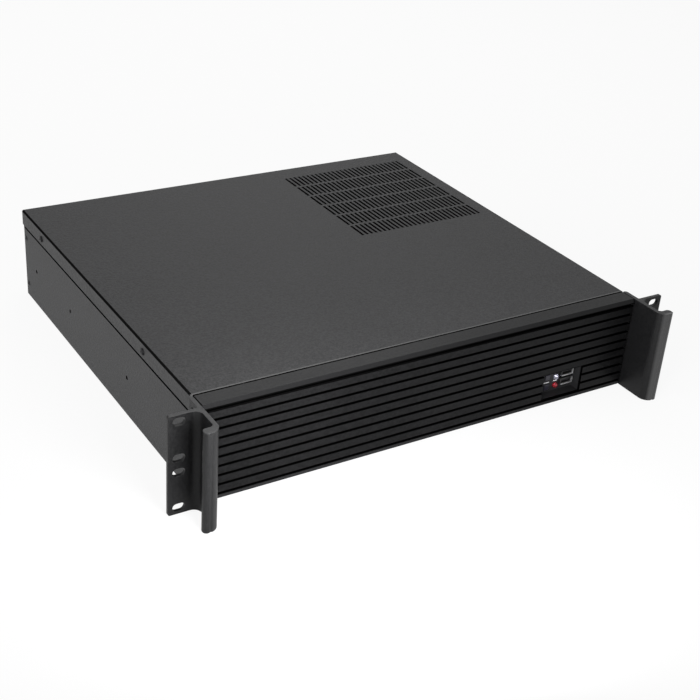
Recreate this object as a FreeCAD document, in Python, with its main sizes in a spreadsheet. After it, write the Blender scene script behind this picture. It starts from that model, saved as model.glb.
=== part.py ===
import FreeCAD, Part
import math
import os
import re
import Sketcher
from FreeCAD import Placement, Rotation, Vector

# Empty rackmount server case, two rack units high, with a ribbed front panel between two
# extruded handles. Millimetres, +Z up, front towards -Y. Sizes along Y are counted from the
# front face of the rack ears; each piece's Placement then centres the case on the origin.

doc = FreeCAD.newDocument("ServerCase")
dims = doc.addObject("Spreadsheet::Sheet", "Dims")

SIZES = [
    ("rack_width", 482.6, "over both rack ears"),
    ("case_height", 88.0, "two rack units less the air gap"),
    ("case_rear", 393.4, "rear edge of the floor and the walls"),
    ("chassis_front", 20.7, "front edge of the lid and of the floor"),
    ("tray_sheet", 1.0, "base tray and inner sheets"),
    ("lid_sheet", 0.8, "top cover"),
    ("lid_flange", 14.4, "height of the lid's side flanges"),
    ("tray_return", 8.0, "inward fold on top of the side walls"),
    ("wall_front", 5.0, "front edge of the side walls"),
    ("fold", 8.0, "width of the bulkhead's folds"),
    ("rear_inset", 12.0, "rear panel's face inside the case's rear edge"),
    ("panel_front", 3.4, "front face of the slats"),
    ("panel_face", 3.0, "thickness of the slatted face"),
    ("panel_flange", 2.0, "thickness of the panel's flanges"),
    ("panel_gap", 0.15, "panel end to side wall"),
    ("lip_drop", 3.5, "height of the bevelled top lip"),
    ("lip_proud", 1.4, "lip in front of the slats"),
    ("lip_depth", 3.0, "depth of the lip's bevel"),
    ("groove_width", 1.5, "groove between two slats"),
    ("groove_depth", 2.1, "depth of the grooves"),
    ("groove_pitch", 8.5, "groove to groove"),
    ("groove_first", 5.2, "height of the lowest groove"),
    ("wide_groove", 2.6, "shadow groove under the lip"),
    ("port_radius", 3.3, "screw port in the extrusion"),
    ("port_drill", 1.65, "radius of its bore"),
    ("port_depth", 12.0, "ports behind the ear's face"),
    ("port_low", 6.0, "height of the lower port"),
    ("window_margin", 48.05, "control window to the panel's right end"),
    ("window_width", 44.2, "control window"),
    ("window_slats", 3, "window height in slats"),
    ("recess_depth", 12.0, "window recess behind the slats"),
    ("housing_wall", 1.2, "wall of the control housing"),
    ("housing_back", 1.5, "back plate of the control housing"),
    ("web", 3.5, "thickness of the handle's web"),
    ("ear", 3.0, "thickness of the rack ear"),
    ("ear_reach", 24.9, "rack ear beyond the handle's web"),
    ("leg_rear", 19.6, "rear end of the handle's leg"),
    ("grip_front", 31.8, "handle's reach in front of the ear"),
    ("grip_rear", 24.3, "rear face of the grip lip"),
    ("grip_reach", 10.2, "grip lip beyond the handle's web"),
    ("grip_bend", 9.0, "outer radius of the grip's bend"),
    ("ear_bend", 7.0, "radius between ear and web"),
    ("slot_offset", 8.75, "rack slot to the ear's edge"),
    ("slot_long", 10.3, "rack slot"),
    ("slot_wide", 6.8, "rack slot"),
    ("slot_margin", 5.9, "outer rack slots to the ear's ends"),
    ("slot_inner", 6.35, "inner slots above and below the middle"),
    ("countersink", 3.7, "radius of the handle screws' heads"),
    ("screw", 1.9, "radius of a case screw"),
    ("screw_hole", 2.1, "radius of its hole"),
    ("cover_screw_front", 109.0, "front cover screw"),
    ("cover_screw_rear", 341.6, "rear cover screw"),
    ("cover_screw_drop", 8.2, "cover screws below the lid's top"),
    ("rail_height", 36.3, "slide rail holes"),
    ("rail_front", 144.7, "slide rail hole"),
    ("rail_middle", 274.7, "slide rail hole"),
    ("rail_rear", 362.9, "slide rail hole"),
    ("rail_hole", 2.0, "radius of the rail holes"),
    ("rivet_rear", 388.4, "rivets of the rear panel"),
    ("rivet_front", 26.0, "rivets of the front bulkhead"),
    ("rivet_low", 12.9, "height of the lower rivets"),
    ("rivet_high", 61.0, "height of the upper rivets"),
    ("rivet", 1.6, "radius of a rivet"),
    ("rivet_head", 2.6, "radius of a rivet's head"),
    ("vent_columns", 28, "slots in a row of the lid's vent"),
    ("vent_rows", 6, "rows of the lid's vent"),
    ("vent_pitch_across", 5.1, "slot to slot"),
    ("vent_pitch_along", 26.2, "row to row"),
    ("vent_long", 23.0, "length of a vent slot"),
    ("vent_wide", 2.6, "width of a vent slot"),
    ("vent_back", 33.8, "middle of the last row to the case's rear edge"),
    ("vent_edge", 1.0, "first column's middle outside the supply's bay"),
    ("filter_sheet", 0.4, "dust filter fabric"),
    ("filter_rim", 4.0, "filter beyond the vent"),
    ("supply_gap", 1.0, "power supply to side wall"),
    ("supply_width", 150.0, "power supply"),
    ("supply_length", 140.0, "power supply"),
    ("supply_screw_span", 138.0, "power supply screws"),
    ("supply_screw_margin", 12.0, "power supply screws below the top and above the floor"),
    ("aperture_gap", 8.1, "connector aperture to power supply"),
    ("aperture_width", 158.8, "connector aperture"),
    ("aperture_low", 5.3, "connector aperture"),
    ("aperture_height", 44.4, "connector aperture"),
    ("board_side", 243.8, "main board"),
    ("board_margin", 6.0, "board's edge beyond the aperture"),
    ("expansion_pitch", 20.32, "expansion slots"),
    ("expansion_gap", 14.0, "first expansion slot's middle to the aperture"),
    ("expansion_low", 9.0, "bottom of the expansion slots"),
    ("expansion_drop", 11.0, "screw ledge below the top"),
    ("blank_width", 18.4, "slot blank"),
    ("blank_sheet", 0.8, "slot blank"),
    ("standoff_height", 6.5, "board standoffs"),
    ("standoff_hex", 3.0, "circumradius of a standoff"),
    ("cage_gap", 19.9, "drive cage to side wall"),
    ("cage_length", 150.0, "drive cage"),
    ("cage_front", 30.5, "drive cage"),
    ("cage_inside", 101.8, "drive bay width"),
    ("cage_height", 60.0, "drive cage"),
    ("brace_front", 160.0, "cross brace"),
    ("brace_depth", 14.0, "cross brace"),
    ("brace_height", 11.0, "cross brace"),
    ("button_shift", 14.9, "buttons from the window's left side"),
    ("button_high", 19.8, "power button"),
    ("button_low", 9.6, "reset button"),
    ("button_size", 5.5, "button cap"),
    ("button_gap", 0.2, "cap to housing"),
    ("button_proud", 0.8, "cap in front of the plate"),
    ("button_travel", 1.0, "stroke of both buttons"),
    ("lamp_shift", 24.4, "lamps from the window's left side"),
    ("lamp_high", 19.0, "power lamp"),
    ("lamp_low", 10.4, "drive lamp"),
    ("lamp_radius", 2.5, "lamps"),
    ("socket_shift", 35.3, "data sockets from the window's left side"),
    ("socket_low", 13.6, "lower data socket"),
    ("socket_pitch", 9.0, "socket to socket"),
    ("socket_width", 13.6, "data socket shell"),
    ("socket_height", 6.4, "data socket shell"),
    ("socket_sheet", 0.5, "data socket shell"),
    ("socket_proud", 3.0, "shell in front of the plate"),
    ("board_front", 24.0, "control board's front face"),
    ("board_thick", 1.6, "control board"),
]

# Sizes that follow from the ones above. The case is as wide as the ears leave it, and the bays
# are laid out from its right-hand wall.
LINKED = [
    ("case_width", "rack_width - 2 * (ear_reach + web - lid_sheet)", "over the lid's side flanges"),
    ("grip_out", "case_width / 2 - lid_sheet + web + grip_reach", "outer end of the grip lip"),
    ("slot_outer", "case_height / 2 - slot_margin", "outer rack slots above and below the middle"),
    ("cover_screw_height", "case_height - cover_screw_drop", "both cover screws"),
    ("window_right", "case_width / 2 - lid_sheet - tray_sheet - panel_gap - window_margin", "window"),
    ("window_left", "window_right - window_width", "window"),
    ("button_across", "window_left + button_shift", "buttons"),
    ("lamp_across", "window_left + lamp_shift", "lamps"),
    ("socket_across", "window_left + socket_shift", "data sockets"),
    ("supply_left", "case_width / 2 - lid_sheet - tray_sheet - supply_gap - supply_width", "supply"),
    ("supply_screw_rise", "case_height - 2 * supply_screw_margin", "upper screws above the lower"),
    ("aperture_left", "supply_left - aperture_gap - aperture_width", "aperture"),
    ("expansion_first", "aperture_left - expansion_gap", "middle of the first expansion slot"),
    ("expansion_high", "case_height - expansion_drop", "screw ledge of the expansion slots"),
    ("vent_left", "supply_left - vent_edge", "middle of the first column"),
    ("vent_last", "case_rear - vent_back", "middle of the last row"),
    ("cage_left", "cage_gap - (case_width / 2 - lid_sheet - tray_sheet)", "drive cage"),
]
names = [size[0] for size in SIZES + LINKED]
for row, (alias, number, note) in enumerate(SIZES, 1):
    dims.set("A%d" % row, note)
    dims.set("B%d" % row, str(number))
    dims.setAlias("B%d" % row, alias)
doc.recompute()
for row, (alias, formula, note) in enumerate(LINKED, len(SIZES) + 1):
    dims.set("A%d" % row, note)
    dims.set("B%d" % row, "=" + formula)
    dims.setAlias("B%d" % row, alias)
    doc.recompute()


def bind(text):
    # Writes a size's name as the sheet's own, for use in any expression.
    return re.sub(r"[a-z][a-z_]*", lambda m: "Dims." * (m.group(0) in names) + m.group(0), text)


def value(text):
    return float(dims.evalExpression(bind(text)))


# Heights and planes that several pieces share.
HALF = "(case_width / 2)"
WALL_OUT = "(case_width / 2 - lid_sheet)"
WALL_IN = "(case_width / 2 - lid_sheet - tray_sheet)"
WALL_TOP = "(case_height - lid_sheet)"
WEB_OUT = "(case_width / 2 - lid_sheet + web)"
REAR_OUT = "(case_rear - rear_inset)"
REAR_IN = "(case_rear - rear_inset - tray_sheet)"
PANEL_END = "(case_width / 2 - lid_sheet - tray_sheet - panel_gap)"
FACE_BACK = "(panel_front + panel_face)"
PLATE = "(panel_front + recess_depth)"
PLATE_BACK = "(panel_front + recess_depth + housing_back)"
WINDOW_LOW = "groove_first"
WINDOW_HIGH = "(groove_first + window_slats * groove_pitch)"
WINDOW_MID = "(groove_first + window_slats * groove_pitch / 2)"
PORT_HIGH = "(case_height - port_low)"
BULKHEAD_BACK = "(chassis_front + tray_sheet)"
BLANK_FACE = "(case_rear - rear_inset - tray_sheet - blank_sheet)"
MIDDLE = "((case_rear + lid_sheet - grip_front) / 2)"
CAGE_RIGHT = "(cage_left + cage_length)"
CAGE_REAR = "(cage_front + cage_inside + 2 * tray_sheet)"
CAGE_FEET = [(x, y) for x in ("cage_left + 12", CAGE_RIGHT + " - 12")
             for y in ("cage_front + 10", CAGE_REAR + " - 10")]
PORTS = ("port_low", PORT_HIGH)
RIVETS = [(y, z) for y in ("rivet_front", "rivet_rear") for z in ("rivet_low", "rivet_high")]
COVER_SCREWS = ("cover_screw_front", "cover_screw_rear")
SLATTED = "(case_height - lip_drop - wide_groove - groove_first - groove_width)"
GROOVES = int(value(SLATTED + " / groove_pitch")) + 1
EXPANSIONS = int(value("(expansion_first + " + WALL_IN + ") / expansion_pitch - 1.5")) + 1
EXPANSION = ["(expansion_first - %d * expansion_pitch)" % i for i in range(EXPANSIONS)]

parts = []


def keep(piece, label):
    piece.Label = label
    piece.setExpression("Placement.Base.y", bind("-" + MIDDLE))
    parts.append(piece)


# Sketcher bodies.

def new_body(name):
    body = doc.addObject("PartDesign::Body", name)
    body.AllowCompound = True
    return body


def sketch_on(body, role, name, level="0"):
    # XZ_Plane faces -Y, so its level is turned round.
    sketch = body.newObject("Sketcher::SketchObject", name)
    plane = [f for f in body.Origin.OriginFeatures if f.Role == role][0]
    sketch.AttachmentSupport = [(plane, "")]
    sketch.MapMode = "FlatFace"
    if role == "XZ_Plane":
        level = "-(" + level + ")"
    sketch.setExpression("AttachmentOffset.Base.z", bind(level))
    return sketch


def tie(sketch, geometry, point, x, y):
    for kind, text in (("DistanceX", x), ("DistanceY", y)):
        index = sketch.addConstraint(Sketcher.Constraint(kind, -1, 1, geometry, point, value(text)))
        sketch.setExpression("Constraints[%d]" % index, bind(text))


def outline(sketch, corners):
    first = sketch.GeometryCount
    count = len(corners)
    points = [Vector(value(x), value(y), 0) for x, y in corners]
    for i in range(count):
        sketch.addGeometry(Part.LineSegment(points[i], points[(i + 1) % count]), False)
    for i in range(count):
        sketch.addConstraint(Sketcher.Constraint("Coincident", first + i, 2, first + (i + 1) % count, 1))
    for i, (x, y) in enumerate(corners):
        tie(sketch, first + i, 1, x, y)


def rectangle(sketch, left, low, right, high):
    outline(sketch, [(left, low), (right, low), (right, high), (left, high)])


def circle(sketch, x, y, radius):
    middle = Vector(value(x), value(y), 0)
    index = sketch.addGeometry(Part.Circle(middle, Vector(0, 0, 1), value(radius)), False)
    tie(sketch, index, 3, x, y)
    size = sketch.addConstraint(Sketcher.Constraint("Radius", index, value(radius)))
    sketch.setExpression("Constraints[%d]" % size, bind(radius))


def square(sketch, x, y, half, half_high=None):
    high = half_high or half
    left, right = "%s - %s" % (x, half), "%s + %s" % (x, half)
    rectangle(sketch, left, "%s - %s" % (y, high), right, "%s + %s" % (y, high))


def obround(sketch, x, y, long, wide):
    # A slot with round ends: two half circles joined by two tangent lines.
    reach = "((%s) - (%s)) / 2" % (long, wide)
    radius = value(wide) / 2
    quarter = math.pi / 2
    one = Vector(value(x) - value(reach), value(y), 0)
    two = Vector(value(x) + value(reach), value(y), 0)
    up = Vector(0, 0, 1)
    side = Vector(0, radius, 0)
    left = Part.ArcOfCircle(Part.Circle(one, up, radius), quarter, 3 * quarter)
    right = Part.ArcOfCircle(Part.Circle(two, up, radius), -quarter, quarter)
    a = sketch.addGeometry(left, False)
    b = sketch.addGeometry(right, False)
    low = sketch.addGeometry(Part.LineSegment(one - side, two - side), False)
    top = sketch.addGeometry(Part.LineSegment(two + side, one + side), False)
    for first, end, second, start in ((a, 2, low, 1), (low, 2, b, 1), (b, 2, top, 1), (top, 2, a, 1)):
        sketch.addConstraint(Sketcher.Constraint("Tangent", first, end, second, start))
    sketch.addConstraint(Sketcher.Constraint("Equal", a, b))
    tie(sketch, a, 3, "(%s) - %s" % (x, reach), y)
    tie(sketch, b, 3, "(%s) + %s" % (x, reach), y)
    size = sketch.addConstraint(Sketcher.Constraint("Radius", a, radius))
    sketch.setExpression("Constraints[%d]" % size, bind("(%s) / 2" % wide))


def pad(body, sketch, length, name, reverse=False, both=False):
    feature = body.newObject("PartDesign::Pad", name)
    feature.Profile = sketch
    feature.setExpression("Length", bind(length))
    feature.Reversed = reverse
    if both:
        feature.SideType = "Symmetric"
    doc.recompute()
    return feature


def pocket(body, sketch, length, name, reverse=False, both=False):
    before = body.Shape.Volume
    feature = body.newObject("PartDesign::Pocket", name)
    feature.Profile = sketch
    feature.setExpression("Length", bind(length))
    feature.Reversed = reverse
    if both:
        feature.SideType = "Symmetric"
    doc.recompute()
    if body.Shape.Volume >= before:
        raise RuntimeError(name + " cuts nothing")
    return feature


def upright_edges(shape, spots):
    # Names of the vertical edges that stand on the given points.
    found = []
    for index, edge in enumerate(shape.Edges, 1):
        box = edge.BoundBox
        if box.ZLength < 1 or box.XLength > 0.01 or box.YLength > 0.01:
            continue
        if any(abs(box.XMin - x) < 0.05 and abs(box.YMin - y) < 0.05 for x, y in spots):
            found.append("Edge%d" % index)
    return found


def fillet(body, base, edges, radius, name):
    feature = body.newObject("PartDesign::Fillet", name)
    feature.Base = (base, edges)
    feature.setExpression("Radius", bind(radius))
    doc.recompute()
    return feature


def chamfer(body, base, edges, size, name):
    feature = body.newObject("PartDesign::Chamfer", name)
    feature.Base = (base, edges)
    feature.setExpression("Size", bind(size))
    doc.recompute()
    return feature


# Part primitives.

def box(name, x, y, z):
    piece = doc.addObject("Part::Box", name)
    for size, axis, (low, high) in (("Length", "x", x), ("Width", "y", y), ("Height", "z", z)):
        piece.setExpression(size, bind("(%s) - (%s)" % (high, low)))
        piece.setExpression("Placement.Base." + axis, bind(low))
    return piece


TURNS = {"x": Rotation(Vector(0, 1, 0), 90), "y": Rotation(Vector(1, 0, 0), -90), "z": Rotation()}


def settle(piece, axis, spot):
    piece.Placement = Placement(Vector(), TURNS[axis])
    for letter, text in zip("xyz", spot):
        piece.setExpression("Placement.Base." + letter, bind(text))
    return piece


def peg(name, axis, spot, radius, length, sides=8):
    # A small round thing or hole, with flats so that its many copies stay light.
    piece = doc.addObject("Part::Prism", name)
    piece.Polygon = sides
    piece.setExpression("Circumradius", bind(radius))
    piece.setExpression("Height", bind(length))
    return settle(piece, axis, spot)


def taper(name, turn, spot, radius, length, angle, sides=8):
    # A peg that narrows along its run.
    ring = doc.addObject("Part::RegularPolygon", name + "Ring")
    ring.Polygon = sides
    ring.setExpression("Circumradius", bind(radius))
    ring.Placement = Placement(Vector(), turn)
    for letter, text in zip("xyz", spot):
        ring.setExpression("Placement.Base." + letter, bind(text))
    piece = doc.addObject("Part::Extrusion", name)
    piece.Base = ring
    piece.DirMode = "Normal"
    piece.Solid = True
    piece.setExpression("LengthFwd", bind(length))
    piece.TaperAngle = -angle
    return piece


def fuse(name, pieces):
    piece = doc.addObject("Part::MultiFuse", name)
    piece.Shapes = pieces
    return piece


def cut(name, base, tools):
    piece = doc.addObject("Part::Cut", name)
    piece.Base = base
    piece.Tool = tools[0] if len(tools) == 1 else fuse(name + "Tools", tools)
    return piece


def through_drill(name, y, z, radius):
    # A drill that runs through both side walls.
    return peg(name, "x", ("-" + HALF + " - 10", y, z), radius, "case_width + 20")


# Base tray: one sheet folded up into the floor and both side walls, with a fold inwards along
# the top of each wall. The walls run on past the floor, beside the front panel's ends.
tray = new_body("Tray")
section = sketch_on(tray, "XZ_Plane", "TraySection", "chassis_front")
outline(section, [
    ("-" + WALL_OUT, "0"), (WALL_OUT, "0"), (WALL_OUT, WALL_TOP),
    (WALL_IN + " - tray_return", WALL_TOP), (WALL_IN + " - tray_return", WALL_TOP + " - tray_sheet"),
    (WALL_IN, WALL_TOP + " - tray_sheet"), (WALL_IN, "tray_sheet"),
    ("-" + WALL_IN, "tray_sheet"), ("-" + WALL_IN, WALL_TOP + " - tray_sheet"),
    ("-(" + WALL_IN + " - tray_return)", WALL_TOP + " - tray_sheet"),
    ("-(" + WALL_IN + " - tray_return)", WALL_TOP), ("-" + WALL_OUT, WALL_TOP)])
pad(tray, section, "case_rear - chassis_front", "TrayFolded", reverse=True)
cheeks = sketch_on(tray, "XZ_Plane", "TrayCheeks", "wall_front")
rectangle(cheeks, WALL_IN, "0", WALL_OUT, WALL_TOP)
rectangle(cheeks, "-" + WALL_OUT, "0", "-" + WALL_IN, WALL_TOP)
pad(tray, cheeks, "chassis_front - wall_front", "TrayFrontCheeks", reverse=True)
for word, start, run in (("Front", "chassis_front", "tray_sheet + fold"),
                         ("Rear", REAR_IN, "tray_sheet + rear_inset")):
    relief = sketch_on(tray, "XZ_Plane", "Relief" + word, start)
    inner = "(" + WALL_IN + " - tray_return - 1)"
    rectangle(relief, inner, WALL_TOP + " - tray_sheet", WALL_IN, WALL_TOP + " + 1")
    rectangle(relief, "-" + WALL_IN, WALL_TOP + " - tray_sheet", "-" + inner, WALL_TOP + " + 1")
    pocket(tray, relief, run, "TrayRelief" + word)
drills = [through_drill("RailDrill%d" % i, y, "rail_height", "rail_hole")
          for i, y in enumerate(("rail_front", "rail_middle", "rail_rear"))]
drills += [through_drill("CoverDrill%d" % i, y, "cover_screw_height", "screw_hole")
           for i, y in enumerate(COVER_SCREWS)]
drills += [through_drill("PortDrill%d" % i, "port_depth", z, "screw_hole") for i, z in enumerate(PORTS)]
drills += [through_drill("RivetDrill%d" % i, y, z, "rivet") for i, (y, z) in enumerate(RIVETS)]
drills += [peg("FootDrill%d" % i, "z", (x, y, "-1"), "screw_hole", "tray_sheet + 2")
           for i, (x, y) in enumerate(CAGE_FEET)]
keep(cut("BaseTray", tray, drills), "base_tray")

# Top cover: a sheet folded down over both side walls, with the vent above the power supply
# punched as rows of slots.
cover = new_body("Cover")
section = sketch_on(cover, "XZ_Plane", "CoverSection", "chassis_front")
outline(section, [
    ("-" + HALF, "case_height - lid_flange"), ("-" + WALL_OUT, "case_height - lid_flange"),
    ("-" + WALL_OUT, WALL_TOP), (WALL_OUT, WALL_TOP), (WALL_OUT, "case_height - lid_flange"),
    (HALF, "case_height - lid_flange"), (HALF, "case_height"), ("-" + HALF, "case_height")])
bent = pad(cover, section, "case_rear + lid_sheet - chassis_front", "CoverFolded", reverse=True)
corners = []
for index, edge in enumerate(bent.Shape.Edges, 1):
    reach = edge.BoundBox
    outside = abs(abs(reach.XMin) - value(HALF)) < 0.01 and reach.ZMin > value("case_height") - 0.01
    if reach.YLength > 10 and outside:
        corners.append("Edge%d" % index)
fillet(cover, bent, corners, "2 * lid_sheet", "CoverBends")
punch = sketch_on(cover, "XY_Plane", "VentSlot", "case_height")
first_row = "(vent_last - (vent_rows - 1) * vent_pitch_along)"
half = "(vent_long / 2)"
square(punch, "vent_left", first_row, "(vent_wide / 2)", half)
slot = pocket(cover, punch, "lid_sheet", "VentSlotCut")
grid = cover.newObject("PartDesign::MultiTransform", "VentGrid")
grid.Originals = [slot]
rows = []
for name, edge, number, step in (("VentAcross", "H_Axis", "vent_columns", "vent_pitch_across"),
                                 ("VentAlong", "V_Axis", "vent_rows", "vent_pitch_along")):
    repeat = doc.addObject("PartDesign::LinearPattern", name)
    cover.addObject(repeat)
    repeat.Direction = (punch, [edge])
    repeat.setExpression("Length", bind("(%s - 1) * %s" % (number, step)))
    repeat.setExpression("Occurrences", bind(number))
    rows.append(repeat)
grid.Transformations = rows
cover.Tip = grid
drills = [through_drill("FlangeDrill%d" % i, y, "cover_screw_height", "screw_hole")
          for i, y in enumerate(COVER_SCREWS)]
keep(cut("TopCover", cover, drills), "top_cover")

# Dust filter: a sheet of black woven fabric stuck under the vent.
rim = "(vent_wide / 2 + filter_rim)"
fabric = new_body("VentFilter")
plan = sketch_on(fabric, "XY_Plane", "FilterPlan", WALL_TOP)
rectangle(plan, "vent_left - " + rim, "%s - %s - filter_rim" % (first_row, half),
          "vent_left + (vent_columns - 1) * vent_pitch_across + " + rim, "vent_last + %s + filter_rim" % half)
pad(fabric, plan, "filter_sheet", "FilterSheet", reverse=True)
keep(fabric, "vent_filter")

# Front panel: one aluminium extrusion. Its section has a top and a bottom flange, a bevelled lip
# that overhangs the slats, and a groove between each two slats.
front = new_body("FrontPanel")
section = sketch_on(front, "YZ_Plane", "PanelSection")
lip_low = "case_height - lip_drop"
lip_face = "panel_front - lip_proud"
corners = [
    ("chassis_front", "0"), ("chassis_front", "panel_flange"), (FACE_BACK, "panel_flange"),
    (FACE_BACK, "case_height - panel_flange"), ("chassis_front", "case_height - panel_flange"),
    ("chassis_front", "case_height"), (lip_face + " + lip_depth", "case_height"), (lip_face, lip_low),
    ("panel_front + groove_depth", lip_low), ("panel_front + groove_depth", lip_low + " - wide_groove"),
    ("panel_front", lip_low + " - wide_groove")]
for step in reversed(range(GROOVES)):
    middle = "(groove_first + %d * groove_pitch)" % step
    corners += [("panel_front", middle + " + groove_width / 2"),
                ("panel_front + groove_depth", middle + " + groove_width / 2"),
                ("panel_front + groove_depth", middle + " - groove_width / 2"),
                ("panel_front", middle + " - groove_width / 2")]
corners += [("panel_front", "1.2"), ("panel_front + 1.2", "0")]
outline(section, corners)
pad(front, section, "2 * " + PANEL_END, "PanelExtrusion", both=True)
ports = [front]
bores = []
edges = (("port_low", "panel_flange / 2", "port_low - port_drill"),
         (PORT_HIGH, PORT_HIGH + " + port_drill", "case_height - panel_flange / 2"))
for i, (z, low, high) in enumerate(edges):
    start = ("-" + PANEL_END, "port_depth", z)
    ports.append(peg("Port%d" % i, "x", start, "port_radius", "2 * " + PANEL_END))
    ports.append(box("PortWeb%d" % i, ("-" + PANEL_END, PANEL_END), ("port_depth - 1", "port_depth + 1"),
                     (low, high)))
    bores.append(through_drill("PortBore%d" % i, "port_depth", z, "port_drill"))
bores.append(box("PanelMilling", ("window_left - 9", "window_right + 9"), (FACE_BACK, "chassis_front + 1"),
                 ("panel_flange", WINDOW_HIGH + " + 5")))
bores.append(box("PanelWindow", ("window_left", "window_right"), ("0", FACE_BACK + " + 1"),
                 (WINDOW_LOW, WINDOW_HIGH)))
keep(cut("FrontPanelCut", fuse("FrontPanelBlank", ports), bores), "front_panel")


# Handles: one extrusion each, cut to the height of the case. The web lies against the side wall,
# the rack ear branches outwards with a large fillet, and the web curls outwards into the grip.
def handle(name, side):
    body = new_body(name)
    out = "" if side > 0 else "-"
    plan = sketch_on(body, "XY_Plane", name + "Plan")
    ear_edge = "(rack_width / 2)"
    walk = [(WALL_OUT, "leg_rear"), (WALL_OUT, "-grip_front"), ("grip_out", "-grip_front"),
            ("grip_out", "-grip_rear"), (WEB_OUT, "-grip_rear"), (WEB_OUT, "0"), (ear_edge, "0"),
            (ear_edge, "ear"), (WEB_OUT, "ear"), (WEB_OUT, "leg_rear")]
    outline(plan, [(out + x, y) for x, y in walk])
    solid = pad(body, plan, "case_height", name + "Extrusion")

    def at(x, y):
        return (side * value(x), value(y))

    for word, spots, radius in (
            ("Bend", [at(WALL_OUT, "-grip_front")], "grip_bend"),
            ("Fillet", [at(WEB_OUT, "0")], "ear_bend"),
            ("Inner", [at(WEB_OUT, "-grip_rear")], "web"),
            ("Tip", [at("grip_out", "-grip_front"), at("grip_out", "-grip_rear")],
             "(grip_front - grip_rear) * 0.42"),
            ("Leg", [at(WEB_OUT, "leg_rear")], "web * 0.7"),
            ("Root", [at(WEB_OUT, "ear")], "1.2")):
        solid = fillet(body, solid, upright_edges(solid.Shape, spots), radius, name + word)
    groove = sketch_on(body, "XY_Plane", name + "Groove", "case_height")
    circle(groove, out + "(grip_out - (grip_front - grip_rear) * 0.75)", "-grip_front - 1.5", "2.1")
    pocket(body, groove, "case_height", name + "GripGroove")
    round_ends = []
    for index, edge in enumerate(body.Shape.Edges, 1):
        reach = edge.BoundBox
        if reach.XLength < 0.01 and reach.ZLength < 0.01 and abs(reach.XMin - side * value(ear_edge)) < 0.01:
            round_ends.append("Edge%d" % index)
    fillet(body, body.Tip, round_ends, "1.5", name + "EarCorners")
    slots = sketch_on(body, "XZ_Plane", name + "Slots", "-1")
    slot_across = out + "(rack_width / 2 - slot_offset)"
    for shift in ("slot_outer", "slot_inner", "-slot_inner", "-slot_outer"):
        obround(slots, slot_across, "case_height / 2 + " + shift, "slot_long", "slot_wide")
    pocket(body, slots, "ear + 2", name + "RackSlots")
    return body


def sunk(name, side, height):
    # The head of a countersunk screw, its wide end flush with the outside of the leg.
    spot = (WEB_OUT if side > 0 else "-" + WEB_OUT, "port_depth", height)
    return taper(name, Rotation(Vector(0, 1, 0), -90 * side), spot, "countersink", "countersink - screw", 45)


for word, side in (("Left", -1), ("Right", 1)):
    tools = []
    for i, height in enumerate(PORTS):
        tools.append(sunk(word + "Sink%d" % i, side, height))
        begin = WEB_OUT + " - web - 1" if side > 0 else "-" + WEB_OUT + " - 1"
        spot = (begin, "port_depth", height)
        tools.append(peg(word + "LegDrill%d" % i, "x", spot, "screw_hole", "web + 2"))
    keep(cut(word + "HandleCut", handle(word + "Handle", side), tools), "handle_" + word.lower())

# Handle screws: countersunk, through leg and side wall into the panel's screw ports.
fixings = []
for word, side in (("Left", -1), ("Right", 1)):
    for i, height in enumerate(PORTS):
        tag = "HandleScrew%s%d" % (word, i)
        begin = WEB_OUT + " - 10" if side > 0 else "-" + WEB_OUT + " + 0.5"
        shank = peg(tag + "Shank", "x", (begin, "port_depth", height), "port_drill", "9.5")
        begin = WEB_OUT + " - 1.2" if side > 0 else "-" + WEB_OUT
        key = peg(tag + "Key", "x", (begin, "port_depth", height), "1.45", "1.2", 6)
        fixings.append(cut(tag, fuse(tag + "Blank", [shank, sunk(tag + "Head", side, height)]), [key]))
keep(fuse("HandleScrews", fixings), "handle_screws")


def pan_screw(tag, spot, axis, way, length, head=("3.0", "1.7"), crossed=True):
    # Pan-head screw. spot is under its head, way the direction that the head points in.
    letters = "xyz"
    number = letters.index(axis)
    across, high = head
    head_start = list(spot)
    shank_start = list(spot)
    if way < 0:
        head_start[number] = "(%s) - %s" % (spot[number], high)
    else:
        shank_start[number] = "(%s) - %s" % (spot[number], length)
    blank = fuse(tag + "Blank", [peg(tag + "Head", axis, head_start, across, high),
                                 peg(tag + "Shank", axis, shank_start, "screw", length)])
    if not crossed:
        return blank
    face = "(%s) + %s" % (spot[number], "0.8" if way > 0 else "-1.7")
    bars = []
    for arm in letters.replace(axis, ""):
        spans = {}
        for letter, text in zip(letters, spot):
            wide = "1.7" if letter == arm else "0.35"
            spans[letter] = ("(%s) - %s" % (text, wide), "(%s) + %s" % (text, wide))
        spans[axis] = (face, face + " + 0.9")
        bars.append(box(tag + "Bar" + arm, spans["x"], spans["y"], spans["z"]))
    return cut(tag, blank, bars)


# Cover screws: two on each side, through the lid's flange into the wall.
fixings = []
for word, side in (("Left", -1), ("Right", 1)):
    for i, along in enumerate(COVER_SCREWS):
        spot = (HALF if side > 0 else "-" + HALF, along, "cover_screw_height")
        fixings.append(pan_screw("CoverScrew%s%d" % (word, i), spot, "x", side, "4"))
keep(fuse("CoverScrews", fixings), "cover_screws")

# Front bulkhead: the sheet that closes the chassis behind the panel, folded back on all four
# sides, with an opening for the control housing.
def folded_frame(body, name, level, run, back):
    # Four folds around a sheet that fills the case between the side walls.
    folds = sketch_on(body, "XZ_Plane", name, level)
    inner = "(" + WALL_IN + " - tray_sheet)"
    rectangle(folds, "-" + WALL_IN, "tray_sheet", WALL_IN, WALL_TOP)
    rectangle(folds, "-" + inner, "2 * tray_sheet", inner, WALL_TOP + " - tray_sheet")
    pad(body, folds, run, name + "Pad", reverse=back)


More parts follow.
